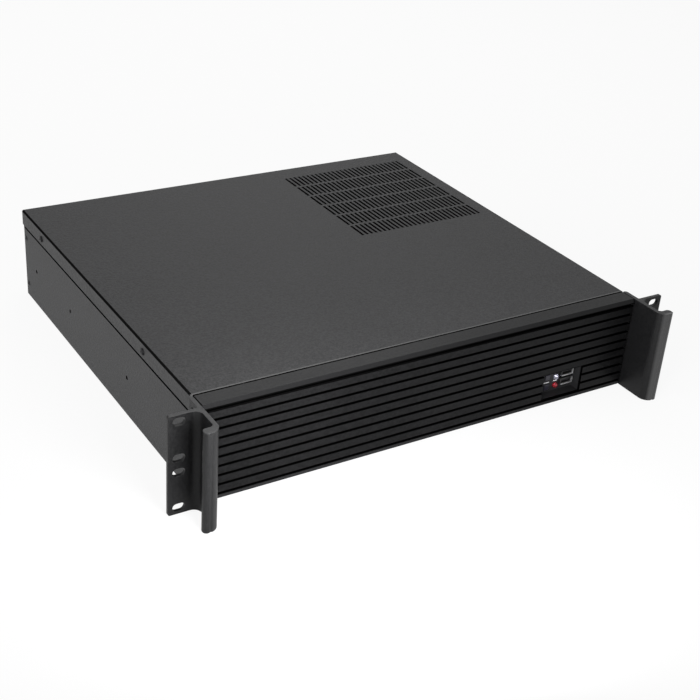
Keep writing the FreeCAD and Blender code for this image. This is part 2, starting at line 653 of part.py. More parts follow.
bulkhead = new_body("Bulkhead")
face = sketch_on(bulkhead, "XZ_Plane", "BulkheadFace", "chassis_front")
rectangle(face, "-" + WALL_IN, "tray_sheet", WALL_IN, WALL_TOP)
pad(bulkhead, face, "tray_sheet", "BulkheadSheet", reverse=True)
folded_frame(bulkhead, "BulkheadFolds", BULKHEAD_BACK, "fold", True)
hatch = sketch_on(bulkhead, "XZ_Plane", "BulkheadHatch", "chassis_front")
rectangle(hatch, "window_left + 1.5", WINDOW_LOW + " + 0.6", "window_right - 1.5", WINDOW_HIGH + " - 1.2")
pocket(bulkhead, hatch, "tray_sheet", "BulkheadOpening")
EAR_SCREWS = ("window_left - 4.1", "window_right + 4.1")
drills = [peg("EarDrill%d" % i, "y", (x, "chassis_front - 1", WINDOW_MID), "1.6", "tray_sheet + 2")
          for i, x in enumerate(EAR_SCREWS)]
drills += [through_drill("BulkheadDrill%d" % i, y, z, "rivet") for i, (y, z) in enumerate(RIVETS[:2])]
keep(cut("FrontBulkhead", bulkhead, drills), "front_bulkhead")

# Rear panel: set inside the case's rear edge and folded rearwards on all four sides, with the
# power supply cut-out, the connector aperture and vent slots above it. Over the expansion slots
# the sheet is open, and a ledge folded out of it carries the tabs of the slots' blanks.
bay_left = "(%s - expansion_pitch * 0.6)" % EXPANSION[-1]
bay_right = "(expansion_first + expansion_pitch * 0.6)"
rear = new_body("RearPanel")
face = sketch_on(rear, "XZ_Plane", "RearFace", REAR_IN)
rectangle(face, "-" + WALL_IN, "tray_sheet", WALL_IN, WALL_TOP)
pad(rear, face, "tray_sheet", "RearSheet", reverse=True)
folded_frame(rear, "RearFolds", REAR_OUT, "rear_inset", True)
cuts = sketch_on(rear, "XZ_Plane", "RearCuts", REAR_IN)
supply_mid = "(supply_left + supply_width / 2)"
supply_level = "(case_height / 2)"
rise = "(supply_screw_rise / 2)"
wide, tall = "(supply_screw_span / 2 + 1)", "(%s + 6)" % rise
narrow, short = "(supply_screw_span / 2 - 9)", "(%s - 9)" % rise
cross = [(narrow, tall), (narrow, short), (wide, short)]
quarters = ((" + ", " + ", cross), (" + ", " - ", cross[::-1]),
            (" - ", " - ", cross), (" - ", " + ", cross[::-1]))
outline(cuts, [(supply_mid + way + x, supply_level + rank + z)
               for way, rank, arm in quarters for x, z in arm])
rectangle(cuts, "aperture_left", "aperture_low", "aperture_left + aperture_width",
          "aperture_low + aperture_height")
for rank in ("-", "+"):
    for way in ("-", "+"):
        circle(cuts, "%s %s supply_screw_span / 2" % (supply_mid, way), supply_level + rank + rise, "screw")
vent_mid = "(case_height - 22)"
for i in range(22):
    square(cuts, "(aperture_left + 5 + %d * 7.1)" % i, vent_mid, "(vent_wide / 2)", "10")
for middle in EXPANSION:
    rectangle(cuts, middle + " - 6.2", "expansion_low + 6", middle + " + 6.2", "expansion_high - 6")
rectangle(cuts, bay_left, "expansion_high", bay_right, "expansion_high + 5")
pocket(rear, cuts, "tray_sheet", "RearCutOuts")
ledge = sketch_on(rear, "XZ_Plane", "RearLedge", REAR_OUT)
rectangle(ledge, bay_left, "expansion_high - tray_sheet", bay_right, "expansion_high")
pad(rear, ledge, "rear_inset - 0.5", "RearLedgePad", reverse=True)
TABS = [(middle + " + 5", REAR_OUT + " + 5.5") for middle in EXPANSION]
drills = [peg("LedgeDrill%d" % i, "z", (x, y, "expansion_high - 3"), "screw", "4")
          for i, (x, y) in enumerate(TABS)]
drills += [through_drill("RearDrill%d" % i, y, z, "rivet") for i, (y, z) in enumerate(RIVETS[2:])]
keep(cut("RearPanelCut", rear, drills), "rear_panel")

# Slot blanks: angled strips inside the expansion slots, their tabs bent rearwards over the ledge
# and screwed down.
blanks = []
fixings = []
tab_top = "expansion_high + blank_sheet"
for i, middle in enumerate(EXPANSION):
    strip = new_body("Blank%d" % i)
    angle = sketch_on(strip, "YZ_Plane", "BlankSection%d" % i, middle)
    outline(angle, [
        (BLANK_FACE, "tray_sheet + 3"), (REAR_IN, "tray_sheet + 3"), (REAR_IN, "expansion_high"),
        (REAR_OUT + " + rear_inset - 1.5", "expansion_high"), (REAR_OUT + " + rear_inset - 1.5", tab_top),
        (BLANK_FACE, tab_top)])
    pad(strip, angle, "blank_width", "BlankPad%d" % i, both=True)
    x, y = TABS[i]
    eye = peg("BlankEye%d" % i, "z", (x, y, "expansion_high - 1"), "screw", "3")
    blanks.append(cut("BlankCut%d" % i, strip, [eye]))
    fixings.append(pan_screw("BlankScrew%d" % i, (x, y, tab_top), "z", 1, "5"))
keep(fuse("SlotBlanks", blanks), "slot_blanks")
keep(fuse("BlankScrews", fixings), "blank_screws")

# Blind rivets that join the bulkhead and the rear panel to the side walls.
rivets = []
for word, side in (("Left", -1), ("Right", 1)):
    for i, (along, height) in enumerate(RIVETS):
        tag = "Rivet%s%d" % (word, i)
        start = WALL_OUT if side > 0 else "-" + WALL_OUT
        turn = Rotation(Vector(0, 1, 0), 90 * side)
        head = taper(tag + "Head", turn, (start, along, height), "rivet_head", "0.6", 50)
        start = WALL_OUT + " - 3 * tray_sheet" if side > 0 else "-" + WALL_OUT
        shank = peg(tag + "Shank", "x", (start, along, height), "rivet", "3 * tray_sheet")
        rivets.append(fuse(tag, [head, shank]))
keep(fuse("Rivets", rivets), "wall_rivets")

# Cross brace: an open channel welded under the side walls' folds.
brace = new_body("Brace")
section = sketch_on(brace, "YZ_Plane", "BraceSection")
brace_top = WALL_TOP + " - tray_sheet"
brace_low = brace_top + " - brace_height"
outline(section, [
    ("brace_front", brace_low), ("brace_front + tray_sheet", brace_low),
    ("brace_front + tray_sheet", brace_top + " - tray_sheet"),
    ("brace_front + brace_depth - tray_sheet", brace_top + " - tray_sheet"),
    ("brace_front + brace_depth - tray_sheet", brace_low), ("brace_front + brace_depth", brace_low),
    ("brace_front + brace_depth", brace_top), ("brace_front", brace_top)])
pad(brace, section, "2 * " + WALL_IN, "BraceChannel", both=True)
keep(brace, "cross_brace")

# Drive cage: a channel for two 3.5-inch drives lying across the case, screwed to the floor.
cage = new_body("Cage")
section = sketch_on(cage, "YZ_Plane", "CageSection", "cage_left")
inner_front, inner_rear = "cage_front + tray_sheet", CAGE_REAR + " - tray_sheet"
outline(section, [
    ("cage_front", "tray_sheet"), (CAGE_REAR, "tray_sheet"), (CAGE_REAR, "cage_height"),
    (inner_rear, "cage_height"), (inner_rear, "2 * tray_sheet"), (inner_front, "2 * tray_sheet"),
    (inner_front, "cage_height"), ("cage_front", "cage_height")])
pad(cage, section, "cage_length", "CageChannel")
marks = sketch_on(cage, "XZ_Plane", "CageDriveHoles", "cage_front - 2")
for level in ("(tray_sheet + 7.4)", "(tray_sheet + 34.4)"):
    for reach in ("16", "57.6", "117.5"):
        square(marks, "(cage_left + %s)" % reach, level, "3", "1.9")
pocket(cage, marks, "cage_inside + 8", "CageSideSlots")
drills = [peg("CageDrill%d" % i, "z", (x, y, "0"), "screw", "4") for i, (x, y) in enumerate(CAGE_FEET)]
keep(cut("DriveCage", cage, drills), "drive_cage")
fixings = []
for i, (x, y) in enumerate(CAGE_FEET):
    seat = (x, y, "2 * tray_sheet")
    fixings.append(pan_screw("CageScrew%d" % i, seat, "z", 1, "(2 * tray_sheet - 0.1)", crossed=False))
keep(fuse("CageScrews", fixings), "cage_screws")

# Power supply stop: an angle on the floor at the inner end of the supply's bay.
stop = new_body("SupplyStop")
section = sketch_on(stop, "YZ_Plane", "StopSection", "supply_left + 8")
stop_front = REAR_IN + " - supply_length - 1.5"
outline(section, [
    (stop_front + " - 14", "tray_sheet"), (stop_front, "tray_sheet"), (stop_front, "16"),
    (stop_front + " - tray_sheet", "16"), (stop_front + " - tray_sheet", "2 * tray_sheet"),
    (stop_front + " - 14", "2 * tray_sheet")])
pad(stop, section, "supply_width - 16", "StopAngle")
keep(stop, "supply_stop")

# Board standoffs: hexagonal brass pillars on the floor, in the pattern of a micro-ATX board.
pillars = []
board_right = "(aperture_left + aperture_width + board_margin)"
for i, across in enumerate(("6.35", "163.83", "209.55")):
    for j, along in enumerate(("10.16", "165.1", "237.49")):
        spot = (board_right + " - " + across, BLANK_FACE + " - 0.7 - " + along, "tray_sheet")
        tag = "Pillar%d%d" % (i, j)
        pillars.append(peg(tag, "z", spot, "standoff_hex", "standoff_height", 6))
keep(fuse("Standoffs", pillars), "board_standoffs")

# Control housing: a moulded frame behind the window with a back plate set back from the slats.
# Its ears are screwed to the bulkhead.
housing = new_body("Housing")
outer = ["window_left - housing_wall", WINDOW_LOW + " - housing_wall",
         "window_right + housing_wall", WINDOW_HIGH + " + housing_wall"]
frame = sketch_on(housing, "XZ_Plane", "HousingFrame", FACE_BACK)
rectangle(frame, *outer)
rectangle(frame, "window_left", WINDOW_LOW, "window_right", WINDOW_HIGH)
pad(housing, frame, "chassis_front - " + FACE_BACK, "HousingFramePad", reverse=True)
plate = sketch_on(housing, "XZ_Plane", "HousingPlate", PLATE)
rectangle(plate, *outer)
pad(housing, plate, "housing_back", "HousingPlatePad", reverse=True)
ears = sketch_on(housing, "XZ_Plane", "HousingEars", "chassis_front - housing_back")
rectangle(ears, outer[0] + " - 6", WINDOW_MID + " - 5", outer[0], WINDOW_MID + " + 5")
rectangle(ears, outer[2], WINDOW_MID + " - 5", outer[2] + " + 6", WINDOW_MID + " + 5")
pad(housing, ears, "housing_back", "HousingEarsPad", reverse=True)
gates = sketch_on(housing, "XZ_Plane", "HousingGates", PLATE)
for height in ("button_high", "button_low"):
    square(gates, "button_across", height, "(button_size / 2 + button_gap)")
socket_mid = "(socket_low + socket_pitch / 2)"
square(gates, "socket_across", socket_mid, "(socket_width / 2 + 0.25)",
       "(socket_pitch / 2 + socket_height / 2 + 0.25)")
pocket(housing, gates, "housing_back", "HousingGatesCut")
LAMPS = (("power", "lamp_high"), ("drive", "lamp_low"))
run = "housing_back + 2"
drills = [peg("LampHole" + word, "y", ("lamp_across", PLATE + " - 1", z), "lamp_radius + 0.1", run, 12)
          for word, z in LAMPS]
ear_front = "chassis_front - housing_back"
drills += [peg("HousingDrill%d" % i, "y", (x, ear_front + " - 1", WINDOW_MID), "1.3", run)
           for i, x in enumerate(EAR_SCREWS)]
keep(cut("ControlHousing", housing, drills), "control_housing")
fixings = []
for i, x in enumerate(EAR_SCREWS):
    tag = "HousingScrew%d" % i
    head = peg(tag + "Head", "y", (x, BULKHEAD_BACK, WINDOW_MID), "2.4", "1.2")
    shank = peg(tag + "Shank", "y", (x, ear_front, WINDOW_MID), "1.3", "housing_back + tray_sheet + 0.4")
    fixings.append(fuse(tag, [head, shank]))
keep(fuse("HousingScrews", fixings), "housing_screws")

# Control board behind the bulkhead, on four spacers.
board_left = "(window_left - 6)"
board_right = "(window_right + 6)"
board = box("Board", (board_left, board_right), ("board_front", "board_front + board_thick"),
            ("4", WINDOW_HIGH + " + 2"))
holes = []
spacers = []
fixings = []
board_back = "board_front + board_thick"
corners = [(x, z) for x in (board_left + " + 3", board_right + " - 3") for z in ("8.5", WINDOW_HIGH + " - 2")]
for i, (x, z) in enumerate(corners):
    holes.append(peg("BoardHole%d" % i, "y", (x, "board_front - 1", z), "1.3", "board_thick + 2"))
    sleeve = peg("SpacerOuter%d" % i, "y", (x, BULKHEAD_BACK, z), "2.4", "board_front - " + BULKHEAD_BACK, 6)
    bore = peg("SpacerBore%d" % i, "y", (x, BULKHEAD_BACK + " - 1", z), "1.4", "board_front", 6)
    spacers.append(cut("Spacer%d" % i, sleeve, [bore]))
    head = peg("BoardScrewHead%d" % i, "y", (x, board_back, z), "2.2", "1.3")
    run = board_back + " + 0.5 - " + BULKHEAD_BACK
    shank = peg("BoardScrewShank%d" % i, "y", (x, BULKHEAD_BACK, z), "1.2", run)
    fixings.append(fuse("BoardScrew%d" % i, [head, shank]))
keep(cut("ControlBoard", board, holes), "control_board")
keep(fuse("BoardSpacers", spacers), "board_spacers")
keep(fuse("BoardScrews", fixings), "board_screws")

# Push buttons: a square cap with a collar that holds it behind the plate, and a plunger that
# reaches into its switch.
BUTTONS = (("Power", "button_high"), ("Reset", "button_low"))
for word, height in BUTTONS:
    button = new_body(word + "Button")
    for step, start, run, half in (
            ("Cap", PLATE + " - button_proud", "button_proud + housing_back + 0.4", "(button_size / 2)"),
            ("Collar", PLATE_BACK + " + 0.1", "1.0", "(button_size / 2 + 0.9)")):
        plan = sketch_on(button, "XZ_Plane", word + step + "Sketch", start)
        square(plan, "button_across", height, half)
        pad(button, plan, run, word + step, reverse=True)
    rim = []
    for index, edge in enumerate(button.Shape.Edges, 1):
        if edge.BoundBox.YMax < value(PLATE + " - button_proud") + 0.01:
            rim.append("Edge%d" % index)
    chamfer(button, button.Tip, rim, "0.4", word + "Rim")
    stem = peg(word + "Stem", "y", ("button_across", PLATE_BACK + " + 1", height), "1.6",
               "board_front - 2.6 - (" + PLATE_BACK + " + 1)")
    keep(fuse(word + "Key", [button, stem]), word.lower() + "_button")

# Switches on the board, each hollow where its button's plunger runs.
switches = []
for word, height in BUTTONS:
    block = box(word + "SwitchBlock", ("button_across - 3", "button_across + 3"),
                ("board_front - 3.6", "board_front"), (height + " - 3", height + " + 3"))
    well = peg(word + "SwitchWell", "y", ("button_across", "board_front - 4", height), "1.9", "3.2")
    switches.append(cut(word + "Switch", block, [well]))
keep(fuse("Switches", switches), "switch_bodies")

# Lamps: 5 mm lamps with a nose rounded in two steps, a collar and two leads down to the board.
for word, height in LAMPS:
    tag = word.capitalize() + "Lamp"
    barrel = new_body(tag + "Barrel")
    tip = PLATE + " - 1.4 - lamp_radius * 0.7"
    ring = sketch_on(barrel, "XZ_Plane", tag + "Ring", tip)
    turns = [math.radians(30 * i) for i in range(12)]
    outline(ring, [("lamp_across + lamp_radius * (%.6f)" % math.cos(turn),
                    height + " + lamp_radius * (%.6f)" % math.sin(turn)) for turn in turns])
    pad(barrel, ring, "housing_back + 3.4 + lamp_radius * 0.7", tag + "BarrelPad", reverse=True)
    for step, size in (("Shoulder", "lamp_radius * 0.4"), ("Nose", "lamp_radius * 0.16")):
        rim = []
        for index, edge in enumerate(barrel.Shape.Edges, 1):
            if edge.BoundBox.YMax < value(tip) + 0.01:
                rim.append("Edge%d" % index)
        chamfer(barrel, barrel.Tip, rim, size, tag + step)
    pieces = [barrel, peg(tag + "Collar", "y", ("lamp_across", PLATE_BACK + " + 1", height),
                          "lamp_radius + 0.4", "1.0", 12)]
    for letter, way in (("A", "-"), ("B", "+")):
        x = "lamp_across %s 1.27" % way
        pieces.append(box(tag + "Lead" + letter, (x + " - 0.25", x + " + 0.25"),
                          (PLATE_BACK + " + 1.5", "board_front"), (height + " - 0.25", height + " + 0.25")))
    keep(fuse(tag, pieces), word + "_lamp")

# Data sockets: two folded metal shells, each with a moulded tongue at the back.
shells = []
tongues = []
for i in range(2):
    middle = "(socket_low + %d * socket_pitch)" % i
    left, right = "socket_across - socket_width / 2", "socket_across + socket_width / 2"
    low, high = middle + " - socket_height / 2", middle + " + socket_height / 2"
    mouth = PLATE + " - socket_proud"
    outer = box("ShellOuter%d" % i, (left, right), (mouth, "board_front"), (low, high))
    inside_x = (left + " + socket_sheet", right + " - socket_sheet")
    inside_z = (low + " + socket_sheet", high + " - socket_sheet")
    inner = box("ShellInner%d" % i, inside_x, (mouth + " - 1", "board_front + 1"), inside_z)
    shells.append(cut("Shell%d" % i, outer, [inner]))
    block = box("TongueBlock%d" % i, inside_x, ("board_front - 2", "board_front"), inside_z)
    blade = box("TongueBlade%d" % i, (left + " + 1.3", right + " - 1.3"),
                (mouth + " + 0.8", "board_front - 1"), (middle + " + 0.5", middle + " + 2.2"))
    tongues.append(fuse("Tongue%d" % i, [block, blade]))
keep(fuse("SocketShells", shells), "socket_shells")
keep(fuse("SocketTongues", tongues), "socket_tongues")

doc.recompute()

faults = [item.Name for item in doc.Objects if "Invalid" in item.State or "Error" in item.State]
for piece in parts:
    if piece.Shape.isNull() or not piece.Shape.isValid() or not piece.Shape.Solids:
        faults.append(piece.Label)
if faults:
    raise RuntimeError("failed: " + ", ".join(faults))

os.makedirs("parts", exist_ok=True)
for piece in parts:
    piece.Shape.exportStep("parts/%s.step" % piece.Label)
    solids = len(piece.Shape.Solids)
    print("%-18s %2d solid(s) %10.1f mm3" % (piece.Label, solids, piece.Shape.Volume))
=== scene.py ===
import math

import bmesh
import bpy
from mathutils import Matrix, Vector


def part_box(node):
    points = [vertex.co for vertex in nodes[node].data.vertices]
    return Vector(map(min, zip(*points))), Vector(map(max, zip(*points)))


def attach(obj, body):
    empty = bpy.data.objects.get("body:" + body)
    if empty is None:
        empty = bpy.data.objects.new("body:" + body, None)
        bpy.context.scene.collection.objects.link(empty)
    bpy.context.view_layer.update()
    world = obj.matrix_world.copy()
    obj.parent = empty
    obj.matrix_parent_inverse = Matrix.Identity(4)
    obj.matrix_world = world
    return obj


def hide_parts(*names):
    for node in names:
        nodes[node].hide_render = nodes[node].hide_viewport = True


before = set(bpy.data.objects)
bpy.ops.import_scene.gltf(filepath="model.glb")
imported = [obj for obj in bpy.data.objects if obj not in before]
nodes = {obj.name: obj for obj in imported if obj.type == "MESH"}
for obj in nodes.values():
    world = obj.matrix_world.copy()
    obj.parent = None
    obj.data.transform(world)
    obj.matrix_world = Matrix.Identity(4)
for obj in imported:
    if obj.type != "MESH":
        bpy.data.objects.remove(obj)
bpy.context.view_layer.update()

# The photographer's place: above the front left corner, a little rolled. The camera looks at a
# point low in the middle of the case, and its lens is long enough to keep the lines calm.
turn, rise, roll = math.radians(-33.59), math.radians(29.07), math.radians(4.48)
aim = Vector((0.0434, 0.0188, -0.0253))
distance = 1.259
image_pixels, focal_pixels = 700, 1283
sensor = 36
backwards = Vector((math.sin(turn) * math.cos(rise), -math.cos(turn) * math.cos(rise), math.sin(rise)))
right = (-backwards).cross(Vector((0, 0, 1))).normalized()
up = right.cross(-backwards)
right_rolled = right * math.cos(roll) + up * math.sin(roll)
up_rolled = up * math.cos(roll) - right * math.sin(roll)
place = Matrix((right_rolled, up_rolled, backwards)).transposed().to_4x4()
place.translation = aim + backwards * distance
eye = bpy.data.objects.new("Camera", bpy.data.cameras.new("Camera"))
bpy.context.scene.collection.objects.link(eye)
eye.matrix_world = place
eye.data.sensor_width = sensor
eye.data.lens = focal_pixels * sensor / image_pixels
eye.data.clip_end = 50
bpy.context.scene.camera = eye
bpy.context.scene.view_settings.view_transform = "Standard"


# Studio: a wide soft box high on the left for the lid and the left wall, one far behind that the
# panel's top flange mirrors, one over the front right for the bevelled lip, and a small one low
# in front, nearer to the panel's left end. A pale room without walls stands round them.
def soft_box(name, spot, wide, tall, watts):
    # A lamp that faces the middle of the case and isn't seen itself.
    target = Vector((0, 0, 0.04))
    lamp = bpy.data.lights.new(name, "AREA")
    lamp.shape = "RECTANGLE"
    lamp.size, lamp.size_y = wide, tall
    lamp.energy = watts
    holder = bpy.data.objects.new(name, lamp)
    bpy.context.scene.collection.objects.link(holder)
    holder.location = spot
    holder.rotation_euler = (target - Vector(spot)).to_track_quat("-Z", "Y").to_euler()
    holder.visible_camera = False


soft_box("KeyLight", spot=(-1.9, 0.3, 1.1), wide=1.5, tall=1.2, watts=20)
soft_box("BackLight", spot=(0.62, 1.2, 1.0), wide=0.6, tall=0.5, watts=2.8)
soft_box("LipLight", spot=(1.1, -1.5, 1.6), wide=0.9, tall=0.6, watts=3)
soft_box("PanelLight", spot=(-0.18, -0.4, 0.14), wide=0.16, tall=0.16, watts=2.1)


def plug(tree, socket, setting):
    # Links a socket to another one, or sets its value.
    if isinstance(setting, bpy.types.NodeSocket):
        tree.links.new(setting, socket)
    else:
        socket.default_value = setting


def add(tree, kind, **given):
    # Puts in one shader node and sets or links its inputs by their names.
    made = tree.nodes.new("ShaderNode" + kind)
    for name, setting in given.items():
        plug(tree, made.inputs[name.replace("_", " ")], setting)
    return made


def reckon(tree, operation, *given):
    # A Math node, its inputs given in order.
    made = tree.nodes.new("ShaderNodeMath")
    made.operation = operation
    for socket, setting in zip(made.inputs, given):
        plug(tree, socket, setting)
    return made.outputs[0]


def seen_directly(tree):
    # One for what the camera sees straight on, through glass or in a gloss, else nought.
    ray = add(tree, "LightPath").outputs
    clear = reckon(tree, "MAXIMUM", ray["Is Camera Ray"], ray["Is Transmission Ray"])
    return reckon(tree, "MAXIMUM", clear, ray["Is Glossy Ray"])


shining, looked_at = 0.40, 1.0
world = bpy.data.worlds.new("Studio")
bpy.context.scene.world = world
world.use_nodes = True
tree = world.node_tree
tree.nodes.clear()
level = add(tree, "MapRange", Value=seen_directly(tree), To_Min=shining, To_Max=looked_at)
sky = add(tree, "Background", Color=(1, 1, 1, 1), Strength=level.outputs["Result"])
tree.links.new(sky.outputs[0], tree.nodes.new("ShaderNodeOutputWorld").inputs["Surface"])

# Floor: a plain pale sheet. A part of its brightness is its own, for what the camera sees directly
# or in metal, so that it stays white while the case's shadow still falls on it.
floor_reach = 6.0
own_brightness = 0.9
ground = bmesh.new()
bmesh.ops.create_grid(ground, x_segments=1, y_segments=1, size=floor_reach)
sheet = bpy.data.meshes.new("Floor")
ground.to_mesh(sheet)
ground.free()
floor = bpy.data.objects.new("Floor", sheet)
bpy.context.scene.collection.objects.link(floor)
pale = bpy.data.materials.new("PaleFloor")
pale.use_nodes = True
tree = pale.node_tree
tree.nodes.clear()
share = add(tree, "MapRange", Value=seen_directly(tree), To_Min=0.0, To_Max=own_brightness)
paint = add(tree, "BsdfDiffuse", Color=(0.94, 0.94, 0.94, 1))
glow = add(tree, "Emission", Color=(1, 1, 1, 1))
both = add(tree, "MixShader", Fac=share.outputs["Result"])
tree.links.new(paint.outputs[0], both.inputs[1])
tree.links.new(glow.outputs[0], both.inputs[2])
tree.links.new(both.outputs[0], tree.nodes.new("ShaderNodeOutputMaterial").inputs["Surface"])
sheet.materials.append(pale)


# Base tray, front bulkhead and rear panel: folded steel sheet under a sprayed and baked powder
# coat, dark grey, almost matt and finely grained. A painted shadow runs along both walls under
# the ends of the lid's flanges, and the holes' bored walls carry painted shade.
def new_group(name, given, wanted):
    # An empty shader node group with its named inputs and outputs.
    group = bpy.data.node_groups.new(name, "ShaderNodeTree")
    for label, start in given:
        kind = "NodeSocketVector" if isinstance(start, tuple) else "NodeSocketFloat"
        group.interface.new_socket(label, in_out="INPUT", socket_type=kind).default_value = start
    for label in wanted:
        kind = "NodeSocketVector" if label == "Normal" else "NodeSocketFloat"
        group.interface.new_socket(label, in_out="OUTPUT", socket_type=kind)
    return group, group.nodes.new("NodeGroupInput").outputs, group.nodes.new("NodeGroupOutput").inputs


def call(tree, group, **given):
    # Places a group in a material, with its own values.
    made = tree.nodes.new("ShaderNodeGroup")
    made.node_tree = group
    for name, setting in given.items():
        plug(tree, made.inputs[name.replace("_", " ")], setting)
    return made.outputs


# Grit: the fine grain of a coat or a moulding, and the wide faint clouds in its tone.
grit, given, wanted = new_group("Grit", [("Size", 1500.0), ("Cloud Size", 9.0)], ["Grain", "Cloud"])
spot = add(grit, "TexCoord").outputs["Object"]
fine = add(grit, "TexNoise", Vector=spot, Scale=given["Size"], Detail=3.0, Roughness=0.6)
wide = add(grit, "TexNoise", Vector=spot, Scale=given["Cloud Size"], Detail=4.0)
grit.links.new(fine.outputs[0], wanted["Grain"])
grit.links.new(wide.outputs[0], wanted["Cloud"])

# Sand: the sandy skin of a powder coat or of blasted metal.
sand, given, wanted = new_group("Sand", [("Size", 540.0)], ["Flecks"])
spot = add(sand, "TexCoord").outputs["Object"]
specks = add(sand, "TexNoise", Vector=spot, Scale=given["Size"], Detail=2.0, Roughness=0.7)
crisp = add(sand, "MapRange", Value=specks.outputs[0], From_Min=0.36, From_Max=0.64)
sand.links.new(crisp.outputs["Result"], wanted["Flecks"])

# Soft edge: the small rounding that every sheared, drawn or moulded edge has, and a mask of it.
soft_edge, given, wanted = new_group("SoftEdge", [("Radius", 0.0004)], ["Normal", "Edge"])
round_off = add(soft_edge, "Bevel", Radius=given["Radius"])
round_off.samples = 6
flat = add(soft_edge, "NewGeometry").outputs["True Normal"]
match = soft_edge.nodes.new("ShaderNodeVectorMath")
match.operation = "DOT_PRODUCT"
soft_edge.links.new(round_off.outputs[0], match.inputs[0])
soft_edge.links.new(flat, match.inputs[1])
away = add(soft_edge, "MapRange", Value=match.outputs["Value"], From_Min=0.98, From_Max=0.75)
soft_edge.links.new(round_off.outputs[0], wanted["Normal"])
soft_edge.links.new(away.outputs["Result"], wanted["Edge"])

# Stripe: one where a coordinate lies in a narrow band, with soft sides.
stripe, given, wanted = new_group(
    "Stripe", [("Place", 0.0), ("Middle", 0.0), ("Half Width", 0.0005), ("Blur", 0.0002)], ["Line"])
off = reckon(stripe, "ABSOLUTE", reckon(stripe, "SUBTRACT", given["Place"], given["Middle"]))
end = reckon(stripe, "ADD", given["Half Width"], given["Blur"])
fade = add(stripe, "MapRange", Value=off, From_Min=given["Half Width"], From_Max=end, To_Min=1.0, To_Max=0.0)
stripe.links.new(fade.outputs["Result"], wanted["Line"])


def mingle(tree, amount, one, two):
    # Mixes two colours.
    made = tree.nodes.new("ShaderNodeMix")
    made.data_type = "RGBA"
    plug(tree, made.inputs[0], amount)
    for socket, colour in ((made.inputs[6], one), (made.inputs[7], two)):
        plug(tree, socket, (*colour, 1.0) if isinstance(colour, tuple) else colour)
    return made.outputs[2]


def shade(colour, times):
    return tuple(min(1.0, channel * times) for channel in colour)


def finish(name, colour, rough, metal=0.0, gloss=0.5, grain=1500.0, spread=0.2, bump=0.3,
           depth=0.0001, radius=0.0004, edge=1.3, pattern=None):
    # One finish: its tone and gloss follow the grain and the clouds, its edges are rounded and a
    # little lighter, partly as bare edges are and partly as a painted highlight. A pattern, where
    # given, takes the place of the grain.
    rough_play = 0.06
    made = bpy.data.materials.new(name)
    made.use_nodes = True
    tree = made.node_tree
    shader = tree.nodes["Principled BSDF"]
    skin = call(tree, grit, Size=grain)
    rim = call(tree, soft_edge, Radius=radius)
    height = pattern(tree) if pattern else skin["Grain"]
    tone = reckon(tree, "MULTIPLY_ADD", skin["Cloud"], 0.4, reckon(tree, "MULTIPLY", height, 0.6))
    base = mingle(tree, tone, shade(colour, 1 - spread), shade(colour, 1 + spread))
    # Painted highlight, partly bare edges: the edge mask mixes the tone towards a lighter one.
    base = mingle(tree, reckon(tree, "MULTIPLY", rim["Edge"], 0.6), base, shade(colour, edge))
    matt = add(tree, "MapRange", Value=tone, From_Min=0.3, From_Max=0.7,
               To_Min=rough - rough_play, To_Max=rough + rough_play)
    relief = add(tree, "Bump", Strength=bump, Distance=depth, Height=height, Normal=rim["Normal"])
    tree.links.new(base, shader.inputs["Base Color"])
    tree.links.new(matt.outputs["Result"], shader.inputs["Roughness"])
    tree.links.new(relief.outputs[0], shader.inputs["Normal"])
    shader.inputs["Metallic"].default_value = metal
    shader.inputs["Specular IOR Level"].default_value = gloss
    return made


def coordinates(tree):
    return add(tree, "SeparateXYZ", Vector=add(tree, "TexCoord").outputs["Object"]).outputs


def strip(tree, place, start, end, blur=0.0002):
    # A mask that is one where the coordinate lies between start and end.
    middle, half = (start + end) / 2, (end - start) / 2
    return call(tree, stripe, Place=place, Middle=middle, Half_Width=half, Blur=blur)["Line"]


def mark(material, masks, colour, share=1.0, dull=False):
    # Lays another tone over a finish where all the masks meet. A dull one takes the gloss away too.
    tree = material.node_tree
    shader = tree.nodes["Principled BSDF"]
    line = masks[0]
    for mask in masks[1:]:
        line = reckon(tree, "MULTIPLY", line, mask)
    if share < 1:
        line = reckon(tree, "MULTIPLY", line, share)
    base = shader.inputs["Base Color"]
    tree.links.new(mingle(tree, line, base.links[0].from_socket, colour), base)
    if dull:
        gloss = shader.inputs["Specular IOR Level"]
        before = gloss.links[0].from_socket if gloss.links else gloss.default_value
        tree.links.new(reckon(tree, "MULTIPLY", reckon(tree, "SUBTRACT", 1.0, line), before), gloss)


def dress(material, *names):
    for name in names:
        slots = nodes[name].data.materials
        slots.clear()
        slots.append(material)


def sandy(tree):
    return call(tree, sand)["Flecks"]


coat = (0.040, 0.040, 0.041)
shadow = (0.002, 0.002, 0.002)
wall_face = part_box("base_tray")[1].x
flange_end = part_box("top_cover")[0].z
tray_coat = finish("TrayCoat", coat, 0.62, gloss=0.25, spread=0.8, bump=0.8, depth=0.00016, pattern=sandy)
tree = tray_coat.node_tree
spot = coordinates(tree)
sideways = reckon(tree, "ABSOLUTE", spot["X"])
under_flange_shadow = strip(tree, spot["Z"], flange_end - 0.0031, flange_end - 0.0001)
outside = strip(tree, sideways, wall_face - 0.0005, wall_face + 0.0005)
hole_wall_shade = strip(tree, sideways, wall_face - 0.0008, wall_face - 0.0002, blur=0.0001)
# Painted shadow: a dark band on the walls' outsides just under the lid's flanges.
mark(tray_coat, [under_flange_shadow, outside], shadow, dull=True)
# Painted shade: the walls of the holes through the sheet are darkened.
mark(tray_coat, [hole_wall_shade], shadow, dull=True)
dress(tray_coat, "base_tray")
sheet_coat = finish("SheetCoat", coat, 0.62, gloss=0.25, spread=0.8, bump=0.8, depth=0.00016, pattern=sandy)
dress(sheet_coat, "front_bulkhead", "rear_panel")


